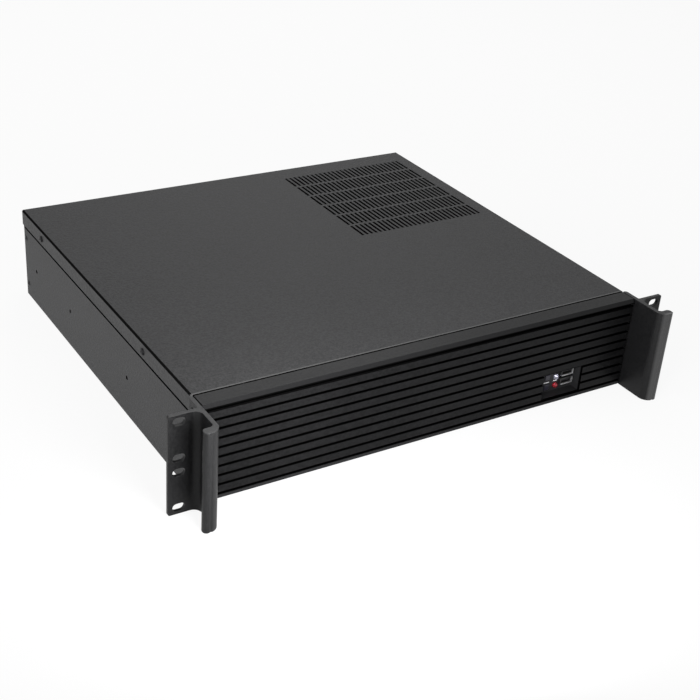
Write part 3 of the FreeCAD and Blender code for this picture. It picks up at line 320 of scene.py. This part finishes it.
# Rivets: black blind rivets with a low domed head and the small dimple of the snapped mandrel.
# Four hold the bulkhead to the walls and four the rear panel.
def turned(profile, sides=40):
    # A turned blank: its half profile, from the axis to the axis, spun round Z.
    form = bmesh.new()
    points = [form.verts.new((across, 0, along)) for across, along in profile]
    lines = [form.edges.new(pair) for pair in zip(points, points[1:])]
    bmesh.ops.spin(form, geom=points + lines, axis=(0, 0, 1), cent=(0, 0, 0), dvec=(0, 0, 0),
                   steps=sides, angle=2 * math.pi, use_merge=True)
    bmesh.ops.remove_doubles(form, verts=form.verts, dist=1e-7)
    bmesh.ops.recalc_face_normals(form, faces=form.faces)
    return form


def into_mesh(name, form):
    made = bpy.data.meshes.new(name)
    form.to_mesh(made)
    form.free()
    return made


towards = {"x": Matrix.Rotation(math.radians(90), 4, "Y"),
           "-x": Matrix.Rotation(math.radians(-90), 4, "Y"),
           "y": Matrix.Rotation(math.radians(-90), 4, "X"),
           "-y": Matrix.Rotation(math.radians(90), 4, "X"),
           "z": Matrix()}
both_sides = ((-1, "-x"), (1, "x"))


def set_out(name, model, places, material, replaced=None):
    # Copies one small piece to its places, each given with the way that its head points.
    form = bmesh.new()
    for spot, way in places:
        copy = model.copy()
        copy.transform(Matrix.Translation(spot) @ towards[way])
        form.from_mesh(copy)
        bpy.data.meshes.remove(copy)
    bpy.data.meshes.remove(model)
    made = into_mesh(name, form)
    made.polygons.foreach_set("use_smooth", [True] * len(made.polygons))
    made.set_sharp_from_angle(angle=math.radians(32))
    made.materials.append(material)
    piece = bpy.data.objects.new(name, made)
    bpy.context.scene.collection.objects.link(piece)
    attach(piece, "case")
    if replaced:
        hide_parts(replaced)


def seats(name, head):
    # The corners between which a node's heads have their middles, from its box and their radius.
    low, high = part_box(name)
    inset = Vector((head, head, head))
    return low + inset, high - inset


rivet_head = 0.0026
black_oxide = finish("BlackOxide", (0.010, 0.010, 0.011), 0.42, gloss=0.15, grain=2500.0, bump=0.15,
                     radius=0.0001, edge=2.0)
rivet = turned([(0, -0.0030), (0.0016, -0.0030), (0.0016, 0), (rivet_head, 0), (0.00255, 0.00022),
                (0.0023, 0.00045), (0.0018, 0.0006), (0.0010, 0.0006), (0.0008, 0.0003), (0, 0.0002)])
near, far = seats("wall_rivets", rivet_head)
places = [((side * wall_face, along, height), way)
          for side, way in both_sides for along in (near.y, far.y) for height in (near.z, far.z)]
set_out("WallRivets", into_mesh("RivetForm", rivet), places, black_oxide, "wall_rivets")


# Slot blanks and the inner sheets: bare zinc-plated steel, with the soft blotches of the plating.
# The blanks' screws are bright pan heads with a cross recess, driven down into the ledge.
def blotches(tree):
    spot = add(tree, "TexCoord").outputs["Object"]
    cells = add(tree, "TexVoronoi", Vector=spot, Scale=160.0, Randomness=1.0).outputs["Distance"]
    blur = add(tree, "TexNoise", Vector=spot, Scale=500.0, Detail=3.0).outputs[0]
    return reckon(tree, "MULTIPLY_ADD", cells, 0.5, reckon(tree, "MULTIPLY", blur, 0.5))


zinc = finish("ZincPlate", (0.56, 0.57, 0.60), 0.36, metal=1.0, spread=0.12, bump=0.08, edge=1.15,
              pattern=blotches)
dress(zinc, "slot_blanks", "cross_brace", "drive_cage", "supply_stop")
bright = finish("BrightZinc", (0.60, 0.61, 0.63), 0.24, metal=1.0, grain=3000.0, spread=0.06, bump=0.05,
                radius=0.0001, edge=1.2)


def carve(form, tools):
    # Takes the tools away from a blank and gives back the mesh that is left.
    blank = bpy.data.objects.new("Blank", into_mesh("BlankForm", form))
    bpy.context.scene.collection.objects.link(blank)
    cutters = []
    for tool in tools:
        cutter = bpy.data.objects.new("Tool", into_mesh("ToolForm", tool))
        bpy.context.scene.collection.objects.link(cutter)
        sink = blank.modifiers.new("Recess", "BOOLEAN")
        sink.operation, sink.solver, sink.object = "DIFFERENCE", "EXACT", cutter
        cutters.append(cutter)
    ready = blank.evaluated_get(bpy.context.evaluated_depsgraph_get())
    made = bpy.data.meshes.new_from_object(ready)
    for spare in [blank] + cutters:
        bpy.data.objects.remove(spare)
    return made


def crossed(form, top=0.0017, deep=0.0009, arm=0.0016):
    # Sinks a cross recess, narrower at its foot, into the head of a turned screw.
    bar_width = 0.0006
    bars = []
    for quarter in (0, 90):
        bar = bmesh.new()
        bmesh.ops.create_cube(bar, size=1.0)
        bmesh.ops.scale(bar, vec=(2 * arm, bar_width, 2 * deep), verts=bar.verts)
        foot = [corner for corner in bar.verts if corner.co.z < 0]
        bmesh.ops.scale(bar, vec=(0.62, 0.7, 1.0), verts=foot)
        turned_by = Matrix.Rotation(math.radians(quarter), 3, "Z")
        bmesh.ops.rotate(bar, verts=bar.verts, cent=(0, 0, 0), matrix=turned_by)
        bmesh.ops.translate(bar, verts=bar.verts, vec=(0, 0, top))
        bars.append(bar)
    return carve(form, bars)


pan_head, pan_rise = 0.0030, 0.0017


def pan_screw(length, head=pan_head, rise=pan_rise, shank=0.0019):
    return turned([(0, -length), (shank * 0.7, -length), (shank, -length + shank * 0.4), (shank, 0),
                   (head, 0), (head, rise * 0.35), (head * 0.93, rise * 0.68),
                   (head * 0.76, rise * 0.9), (head * 0.5, rise), (0, rise)])


def middle(name):
    low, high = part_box(name)
    return (low + high) / 2


slot_count, slot_pitch = 4, 0.02032
first_slot = seats("blank_screws", pan_head)[1].x
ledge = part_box("blank_screws")[1].z - pan_rise
along = middle("blank_screws").y
places = [((first_slot - slot_pitch * i, along, ledge), "z") for i in range(slot_count)]
set_out("BlankScrews", crossed(pan_screw(0.0050)), places, bright, "blank_screws")
near, far = seats("cage_screws", pan_head)
cage_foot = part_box("cage_screws")[1].z - pan_rise
places = [((across, along, cage_foot), "z") for across in (near.x, far.x) for along in (near.y, far.y)]
set_out("CageScrews", crossed(pan_screw(0.0019)), places, bright, "cage_screws")


# Board standoffs: nine hexagonal brass pillars with a tapped bore and a small chamfer on top,
# pressed into the floor in the pattern of a micro-ATX board.
def hexagon_pillar(radius, bore, high, deep, chamfer=0.0004, lead_in=0.0003):
    # Rings from the foot up the outside, then down into the bore.
    form = bmesh.new()
    rings = []
    outside = ((6, radius, 0.0), (6, radius, high - chamfer), (6, radius - chamfer, high))
    inside = ((24, bore + lead_in, high), (24, bore, high - lead_in), (24, bore, high - deep))
    for sides, across, level in outside + inside:
        ring = bmesh.ops.create_circle(form, cap_ends=False, segments=sides, radius=across,
                                       matrix=Matrix.Translation((0, 0, level)))["verts"]
        rings.append([edge for edge in form.edges if all(end in ring for end in edge.verts)])
    for below, above in zip(rings, rings[1:]):
        bmesh.ops.bridge_loops(form, edges=below + above)
    bmesh.ops.holes_fill(form, edges=form.edges, sides=0)
    bmesh.ops.recalc_face_normals(form, faces=form.faces)
    return form


pillar_radius, pillar_height = 0.0030, 0.0065
board_across, board_along = (0.0, 0.15748, 0.20320), (0.0, 0.15494, 0.22733)
brass = finish("Brass", (0.66, 0.47, 0.19), 0.28, metal=1.0, grain=900.0, spread=0.1, bump=0.05,
               radius=0.0002)
floor_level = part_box("board_standoffs")[0].z
board_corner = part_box("board_standoffs")[1]
first_across = board_corner.x - pillar_radius
first_along = board_corner.y - pillar_radius * math.cos(math.radians(30))
places = [((first_across - across, first_along - along, floor_level), "z")
          for across in board_across for along in board_along]
pillar = into_mesh("PillarForm", hexagon_pillar(pillar_radius, 0.0013, pillar_height, 0.0050))
set_out("BoardStandoffs", pillar, places, brass, "board_standoffs")

# Control housing: black ABS, moulded with a spark-eroded face, with gates for buttons, lamps and
# sockets. Two small screws through the bulkhead hold its ears.
ear_head, ear_rise = 0.0024, 0.0012
moulded = finish("HousingPlastic", (0.013, 0.013, 0.014), 0.52, gloss=0.3, grain=2200.0, bump=0.4, edge=1.8)
dress(moulded, "control_housing")
near, far = seats("housing_screws", ear_head)
ear_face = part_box("housing_screws")[1].y - ear_rise
height = middle("housing_screws").z
places = [((across, ear_face, height), "y") for across in (near.x, far.x)]
ear_screw = pan_screw(0.0029, head=ear_head, rise=ear_rise, shank=0.0013)
ear_screw = crossed(ear_screw, top=ear_rise, deep=0.0007, arm=0.0013)
set_out("HousingScrews", ear_screw, places, bright, "housing_screws")


# Control board: green glass-fibre laminate with tracks under the lacquer, held off the bulkhead by
# four brass spacers and their screws. Two push switches stand on it behind the buttons.
def tracks(tree):
    spot = add(tree, "TexCoord").outputs["Object"]
    maze = add(tree, "TexVoronoi", Vector=spot, Scale=420.0, Randomness=0.25)
    maze.distance = "CHEBYCHEV"
    return maze.outputs["Distance"]


board_head, board_rise = 0.0022, 0.0013
laminate = finish("Laminate", (0.012, 0.085, 0.035), 0.3, spread=0.35, bump=0.15, pattern=tracks)
dress(laminate, "control_board")
dress(brass, "board_spacers")
near, far = seats("board_screws", board_head)
board_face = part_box("board_screws")[1].y - board_rise
places = [((across, board_face, height), "y") for across in (near.x, far.x) for height in (near.z, far.z)]
board_screw = pan_screw(0.0039, head=board_head, rise=board_rise, shank=0.0012)
board_screw = crossed(board_screw, top=board_rise, deep=0.0007, arm=0.0012)
set_out("BoardScrews", board_screw, places, bright, "board_screws")
switch_case = finish("SwitchPlastic", (0.012, 0.012, 0.012), 0.45, grain=2500.0, bump=0.2)
dress(switch_case, "switch_bodies")

# Push buttons: small square caps of dark violet-grey ABS, smooth, with a chamfered rim. They
# stand 0.8 mm out of the housing and slide 1 mm into it, against their switches.
cap_plastic = finish("ButtonPlastic", (0.012, 0.011, 0.020), 0.32, grain=2600.0, spread=0.1, bump=0.08,
                     radius=0.0003, edge=2.2)
dress(cap_plastic, "power_button", "reset_button")

# Lamps: 5 mm lamps cast in epoxy, the upper clear and the lower red, each over a silvered cup on
# its two leads. A collar behind the plate keeps them in.
lens_radius, collar_radius = 0.0025, 0.0029
barrel, dome_rise = 0.0014, 0.00175
cup_back, lead_side, lead_long, lead_gap = 0.0030, 0.0005, 0.0050, 0.00254
clear_epoxy = finish("ClearEpoxy", (0.55, 0.54, 0.66), 0.10, grain=1200.0, spread=0.03, bump=0.03, edge=1.0)
clear_epoxy.node_tree.nodes["Principled BSDF"].inputs["Transmission Weight"].default_value = 0.7
red_epoxy = finish("RedEpoxy", (0.24, 0.014, 0.022), 0.10, grain=1200.0, spread=0.06, bump=0.03, edge=1.0)
red_epoxy.node_tree.nodes["Principled BSDF"].inputs["Transmission Weight"].default_value = 0.35
tin = finish("TinPlate", (0.70, 0.70, 0.71), 0.24, metal=1.0, grain=1800.0, spread=0.08, bump=0.05,
             radius=0.0002, edge=1.2)
dome = [(lens_radius * math.cos(math.radians(step)), barrel + dome_rise * math.sin(math.radians(step)))
        for step in range(0, 90, 15)]
plate_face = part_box("power_lamp")[0].y + barrel + dome_rise
between_lamps = (middle("power_lamp") + middle("drive_lamp")) / 2
for word, node, epoxy, slot in (("Power", "power_lamp", clear_epoxy, "clear_lamp"),
                                ("Drive", "drive_lamp", red_epoxy, "red_lamp")):
    seat = [((middle(node).x, plate_face, middle(node).z), "-y")]
    lens = turned([(0, -0.0035), (collar_radius, -0.0035), (collar_radius, -0.0025), (lens_radius, -0.0025)]
                  + dome + [(0, barrel + dome_rise)])
    set_out(word + "Lens", into_mesh("LensForm", lens), seat, epoxy, node)
    cup = turned([(0, -cup_back), (0.0006, -cup_back), (0.0006, -0.0012), (0.0012, -0.0008),
                  (0.0016, 0.0001), (0.0014, 0.0001), (0.0010, -0.0006), (0, -0.0007)], sides=24)
    set_out(word + "Cup", into_mesh("CupForm", cup), seat, tin)
    leads = bmesh.new()
    for side in (-1, 1):
        lead = bmesh.ops.create_cube(leads, size=1.0)["verts"]
        bmesh.ops.scale(leads, vec=(lead_side, lead_side, lead_long), verts=lead)
        bmesh.ops.translate(leads, vec=(side * lead_gap / 2, 0, -0.0061), verts=lead)
    set_out(word + "Leads", into_mesh("LeadForm", leads), seat, tin)

# Data sockets: two folded shells of tin-plated steel, one above the other, each round a black
# moulded tongue with four gilt contacts on its lower side. Their outer left and top sides and their
# insides beyond the mouth carry painted shade.
socket_pitch, socket_middle = 0.0090, 0.0032
contact_rows = (-0.0035, -0.0010, 0.0010, 0.0035)
socket_steel = finish("SocketSteel", (0.90, 0.90, 0.91), 0.44, metal=1.0, spread=0.06, bump=0.05,
                      radius=0.0002, edge=1.15)
shell_low, shell_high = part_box("socket_shells")
tree = socket_steel.node_tree
spot = coordinates(tree)
# Painted shade: the shells' outer left and top sides and their insides past the mouth are darkened.
socket_shade = strip(tree, spot["X"], shell_low.x - 0.0007, shell_low.x + 0.0005)
for top in (shell_high.z - socket_pitch, shell_high.z):
    shell_top = strip(tree, spot["Z"], top - 0.0005, top + 0.0007)
    socket_shade = reckon(tree, "MAXIMUM", socket_shade, shell_top)
depth_shade = strip(tree, spot["Y"], shell_low.y + 0.0020, shell_high.y, blur=0.0008)
mark(socket_steel, [reckon(tree, "MAXIMUM", socket_shade, depth_shade)], (0.03, 0.03, 0.03), share=0.9)
dress(socket_steel, "socket_shells")
tongue_plastic = finish("TonguePlastic", (0.010, 0.010, 0.011), 0.45, gloss=0.3, grain=2400.0, bump=0.15)
dress(tongue_plastic, "socket_tongues")
gilt = finish("Gilt", (0.80, 0.58, 0.22), 0.2, metal=1.0, grain=2000.0, spread=0.06, bump=0.04,
              radius=0.0001)
contact = bmesh.new()
bmesh.ops.create_cube(contact, size=1.0)
bmesh.ops.scale(contact, vec=(0.0011, 0.0068, 0.00012), verts=contact.verts)
bmesh.ops.bevel(contact, geom=list(contact.edges), offset=0.00004, affect="EDGES", segments=2,
                profile=0.5, material=-1)
tongue_face = shell_low.z + socket_middle + 0.00045
contact_spot = Vector((middle("socket_shells").x, shell_low.y + 0.0056, tongue_face))
places = [(contact_spot + Vector((across, 0, level)), "z")
          for level in (0, socket_pitch) for across in contact_rows]
set_out("SocketContacts", into_mesh("ContactForm", contact), places, gilt)

# Marks: two plain white dashes, pad-printed on the housing's plate, one between the buttons and
# one between the lamps. They carry no letters.
dash_wide, dash_thick = 0.0011, 0.00008
print_white = finish("PrintWhite", (0.62, 0.62, 0.64), 0.5, grain=4000.0, spread=0.15, bump=0.1, edge=1.0)
by_buttons = (middle("power_button") + middle("reset_button")) / 2 - Vector((0.0006, 0, 0.0002))
for word, spot, long in (("ButtonMark", by_buttons, 0.0066), ("LampMark", between_lamps, 0.0044)):
    dash = bmesh.new()
    bmesh.ops.create_cube(dash, size=1.0)
    bmesh.ops.scale(dash, vec=(long, dash_wide, dash_thick), verts=dash.verts)
    uprights = [edge for edge in dash.edges if abs(edge.verts[0].co.z - edge.verts[1].co.z) > dash_thick / 2]
    bmesh.ops.bevel(dash, geom=uprights, offset=0.0005, affect="EDGES", segments=6, profile=0.5, material=-1)
    seat = [((spot.x, plate_face, spot.z), "-y")]
    set_out(word, into_mesh("DashForm", dash), seat, print_white)

# Front panel: one aluminium extrusion, blasted and anodised black. Fine die lines run along it,
# from end to end. A narrow open joint parts its top flange from the lid, drawn as painted shade.
# Painted shade darkens the grooves, the slats' edges beside them and the band under the lip;
# painted light brightens the top flange, the lip and the foot.
groove_first, groove_pitch = 0.0052, 0.0085
die_lines, given, wanted = new_group("DieLines", [("Stretch", (1700.0, 1700.0, 1700.0))], ["Height"])
spot = add(die_lines, "TexCoord").outputs["Object"]
drawn = add(die_lines, "Mapping", Vector=spot, Scale=given["Stretch"]).outputs[0]
lines = add(die_lines, "TexNoise", Vector=drawn, Scale=1.0, Detail=2.0).outputs[0]
blasted = reckon(die_lines, "MULTIPLY", call(die_lines, sand, Size=520.0)["Flecks"], 0.6)
die_lines.links.new(reckon(die_lines, "MULTIPLY_ADD", lines, 0.4, blasted), wanted["Height"])


def drawn_across(tree):
    return call(tree, die_lines, Stretch=(6.0, 1700.0, 1700.0))["Height"]


panel_black = finish("PanelAnodised", (0.0050, 0.0050, 0.0053), 0.40, gloss=0.07, spread=0.95, bump=0.7,
                     depth=0.00006, edge=3.0, pattern=drawn_across)
panel_low, panel_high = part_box("front_panel")
slat_face = panel_low.y + 0.0014
groove_floor = slat_face + 0.0021
lip_foot = panel_high.z - 0.0035
tree = panel_black.node_tree
spot = coordinates(tree)
top = strip(tree, spot["Z"], panel_high.z - 0.0002, panel_high.z + 0.0002)
joint_shade = strip(tree, spot["Y"], panel_high.y - 0.0015, panel_high.y + 0.0003)
# Painted light: the top flange, facing up, is painted lighter.
mark(panel_black, [top], (0.017, 0.017, 0.0175))
# Painted shade: a dark line along the top flange's back edge stands for its open joint to the lid.
mark(panel_black, [joint_shade, top], (0.001, 0.001, 0.001), dull=True)
inside = strip(tree, spot["Y"], slat_face + 0.0002, groove_floor + 0.0001)
below_lip = strip(tree, spot["Z"], -0.0004, lip_foot - 0.0001)
# Painted shade: the grooves' insides are darkened.
mark(panel_black, [inside, below_lip], (0.0008, 0.0008, 0.0008), dull=True)
# Painted shade: the slats' faces beside each groove are darkened.
from_groove = reckon(tree, "PINGPONG", reckon(tree, "SUBTRACT", spot["Z"], groove_first), groove_pitch / 2)
groove_edge_shade = strip(tree, from_groove, -0.0011, 0.0011, blur=0.0004)
slats = strip(tree, spot["Z"], 0.0025, lip_foot - 0.0010)
front = strip(tree, spot["Y"], slat_face - 0.0004, slat_face + 0.0004)
mark(panel_black, [groove_edge_shade, slats, front], (0.001, 0.001, 0.001), dull=True)
# Painted light: the bevelled lip is painted lighter.
lip_light = strip(tree, spot["Z"], lip_foot + 0.0003, panel_high.z - 0.0006, blur=0.0004)
mark(panel_black, [lip_light], (0.0095, 0.0095, 0.0100), share=0.8)
# Painted light: the foot under the lowest groove is painted lighter.
foot = strip(tree, spot["Z"], -0.0016, 0.0036, blur=0.0004)
mark(panel_black, [foot], (0.0120, 0.0120, 0.0125))
lip_shade = strip(tree, spot["Z"], lip_foot - 0.0033, lip_foot + 0.0005, blur=0.0003)
mark(panel_black, [lip_shade], (0.0015, 0.0015, 0.0015), dull=True)
dress(panel_black, "front_panel")


# Handles: one extrusion each, sawn to the height of the case and anodised like the panel but a
# little glossier, most of all along the grip's bend where hands rub it, with a painted sheen that is
# stronger on the right handle; their top ends carry painted light. The die lines run up them.
# Countersunk screws with hexagon sockets hold them.
def drawn_up(tree):
    return call(tree, die_lines, Stretch=(1700.0, 1700.0, 6.0))["Height"]


handle_black = finish("HandleAnodised", (0.0068, 0.0068, 0.0072), 0.42, gloss=0.2, spread=0.6, bump=0.4,
                      depth=0.00006, radius=0.0007, edge=2.2, pattern=drawn_up)
grip_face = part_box("handle_left")[0].y
sawn_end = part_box("handle_left")[1].z
tree = handle_black.node_tree
spot = coordinates(tree)
# Painted sheen: the grip's gloss is raised in a band along its bend, where hands rub it, and more on the
# right handle than the left.
rubbed_and_sheen = strip(tree, spot["Y"], grip_face + 0.0004, grip_face + 0.0012, blur=0.0018)
right_side_sheen = add(tree, "MapRange", Value=spot["X"], From_Min=-0.1, From_Max=0.1, To_Min=0.12, To_Max=1.0)
rubbed_and_sheen = reckon(tree, "MULTIPLY", rubbed_and_sheen, right_side_sheen.outputs["Result"])
shine = add(tree, "MapRange", Value=rubbed_and_sheen, To_Min=0.15, To_Max=0.85).outputs["Result"]
tree.links.new(shine, tree.nodes["Principled BSDF"].inputs["Specular IOR Level"])
# Painted light: the handles' top end faces are painted lighter.
top_light = strip(tree, spot["Z"], sawn_end - 0.0002, sawn_end + 0.0006)
mark(handle_black, [top_light], (0.034, 0.034, 0.035), share=0.8)
dress(handle_black, "handle_left", "handle_right")
sunk_head, key_radius, key_depth = 0.0037, 0.00145, 0.0024
key = bmesh.new()
bmesh.ops.create_cone(key, cap_ends=True, segments=6, radius1=key_radius, radius2=key_radius,
                      depth=key_depth)
countersunk = turned([(0, -0.0095), (0.00165, -0.0095), (0.00165, -0.00205), (0.0036, -0.0001),
                      (0.0036, 0), (0, 0)])
near, far = seats("handle_screws", sunk_head)
leg_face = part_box("handle_screws")[1].x
along = middle("handle_screws").y
places = [((side * leg_face, along, height), way) for side, way in both_sides for height in (near.z, far.z)]
set_out("HandleScrews", carve(countersunk, [key]), places, black_oxide, "handle_screws")


# Vent sheet: a sheet of black nylon cloth stuck under the lid's vent, which stands in as painted
# shade for the dark inside of the case. It is plain woven, with about three threads to the millimetre.
def weave(tree):
    radians_per_metre = 9000.0
    spot = coordinates(tree)
    one = reckon(tree, "SINE", reckon(tree, "MULTIPLY", spot["X"], radians_per_metre))
    two = reckon(tree, "SINE", reckon(tree, "MULTIPLY", spot["Y"], radians_per_metre))
    return reckon(tree, "MULTIPLY_ADD", reckon(tree, "MULTIPLY", one, two), 0.5, 0.5)


# Painted shade: the black cloth stands for the shade inside the case seen through the slots.
shade_cloth = finish("ShadeCloth", (0.0020, 0.0020, 0.0020), 0.85, gloss=0.0, spread=0.5, bump=0.6, depth=0.0002,
               pattern=weave)
dress(shade_cloth, "vent_filter")

# Top cover: one sheet under the same powder coat, folded down over both walls, its tone a little
# darker than the tray's as painted shade. The folds and the vent's slots carry painted shade, the
# flanges' sides painted light and its sheared front edge a painted highlight. Four black screws
# hold its flanges.
# Painted shade: the lid's coat is a little darker than the tray's.
lid_coat = finish("LidCoat", (0.036, 0.036, 0.037), 0.60, gloss=0.16, spread=0.8, bump=0.8, depth=0.00016,
                  pattern=sandy)
lid_low, lid_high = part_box("top_cover")
tree = lid_coat.node_tree
spot = coordinates(tree)
sideways = reckon(tree, "ABSOLUTE", spot["X"])
flange_light = strip(tree, sideways, lid_high.x - 0.0001, lid_high.x + 0.0009)
fold_across = strip(tree, sideways, lid_high.x - 0.0014, lid_high.x + 0.0002)
fold_level = strip(tree, spot["Z"], lid_high.z - 0.0015, lid_high.z + 0.0001)
# Painted light: the flanges' outer sides are painted lighter.
mark(lid_coat, [flange_light], (0.050, 0.050, 0.051))
# Painted reflection: the folds are darkened, standing for the dark reflection in the bends.
mark(lid_coat, [fold_across, fold_level], (0.006, 0.006, 0.006), dull=True)
# Painted shade: the walls of the vent's slots are darkened.
slot_wall_shade = strip(tree, spot["Z"], lid_high.z - 0.0007, lid_high.z - 0.0001, blur=0.00005)
away_from_sides = strip(tree, spot["X"], -0.2, 0.2)
away_from_ends = strip(tree, spot["Y"], -0.145, 0.185)
mark(lid_coat, [slot_wall_shade, away_from_sides, away_from_ends], shadow, dull=True)
# Painted highlight: a light line along the sheared front edge.
front_edge_highlight = strip(tree, spot["Y"], lid_low.y - 0.0009, lid_low.y + 0.0015)
mark(lid_coat, [front_edge_highlight], (0.105, 0.105, 0.105), share=0.9)
dress(lid_coat, "top_cover")
near, far = seats("cover_screws", pan_head)
places = [((side * lid_high.x, along, near.z), way) for side, way in both_sides for along in (near.y, far.y)]
set_out("CoverScrews", crossed(pan_screw(0.0040)), places, black_oxide, "cover_screws")
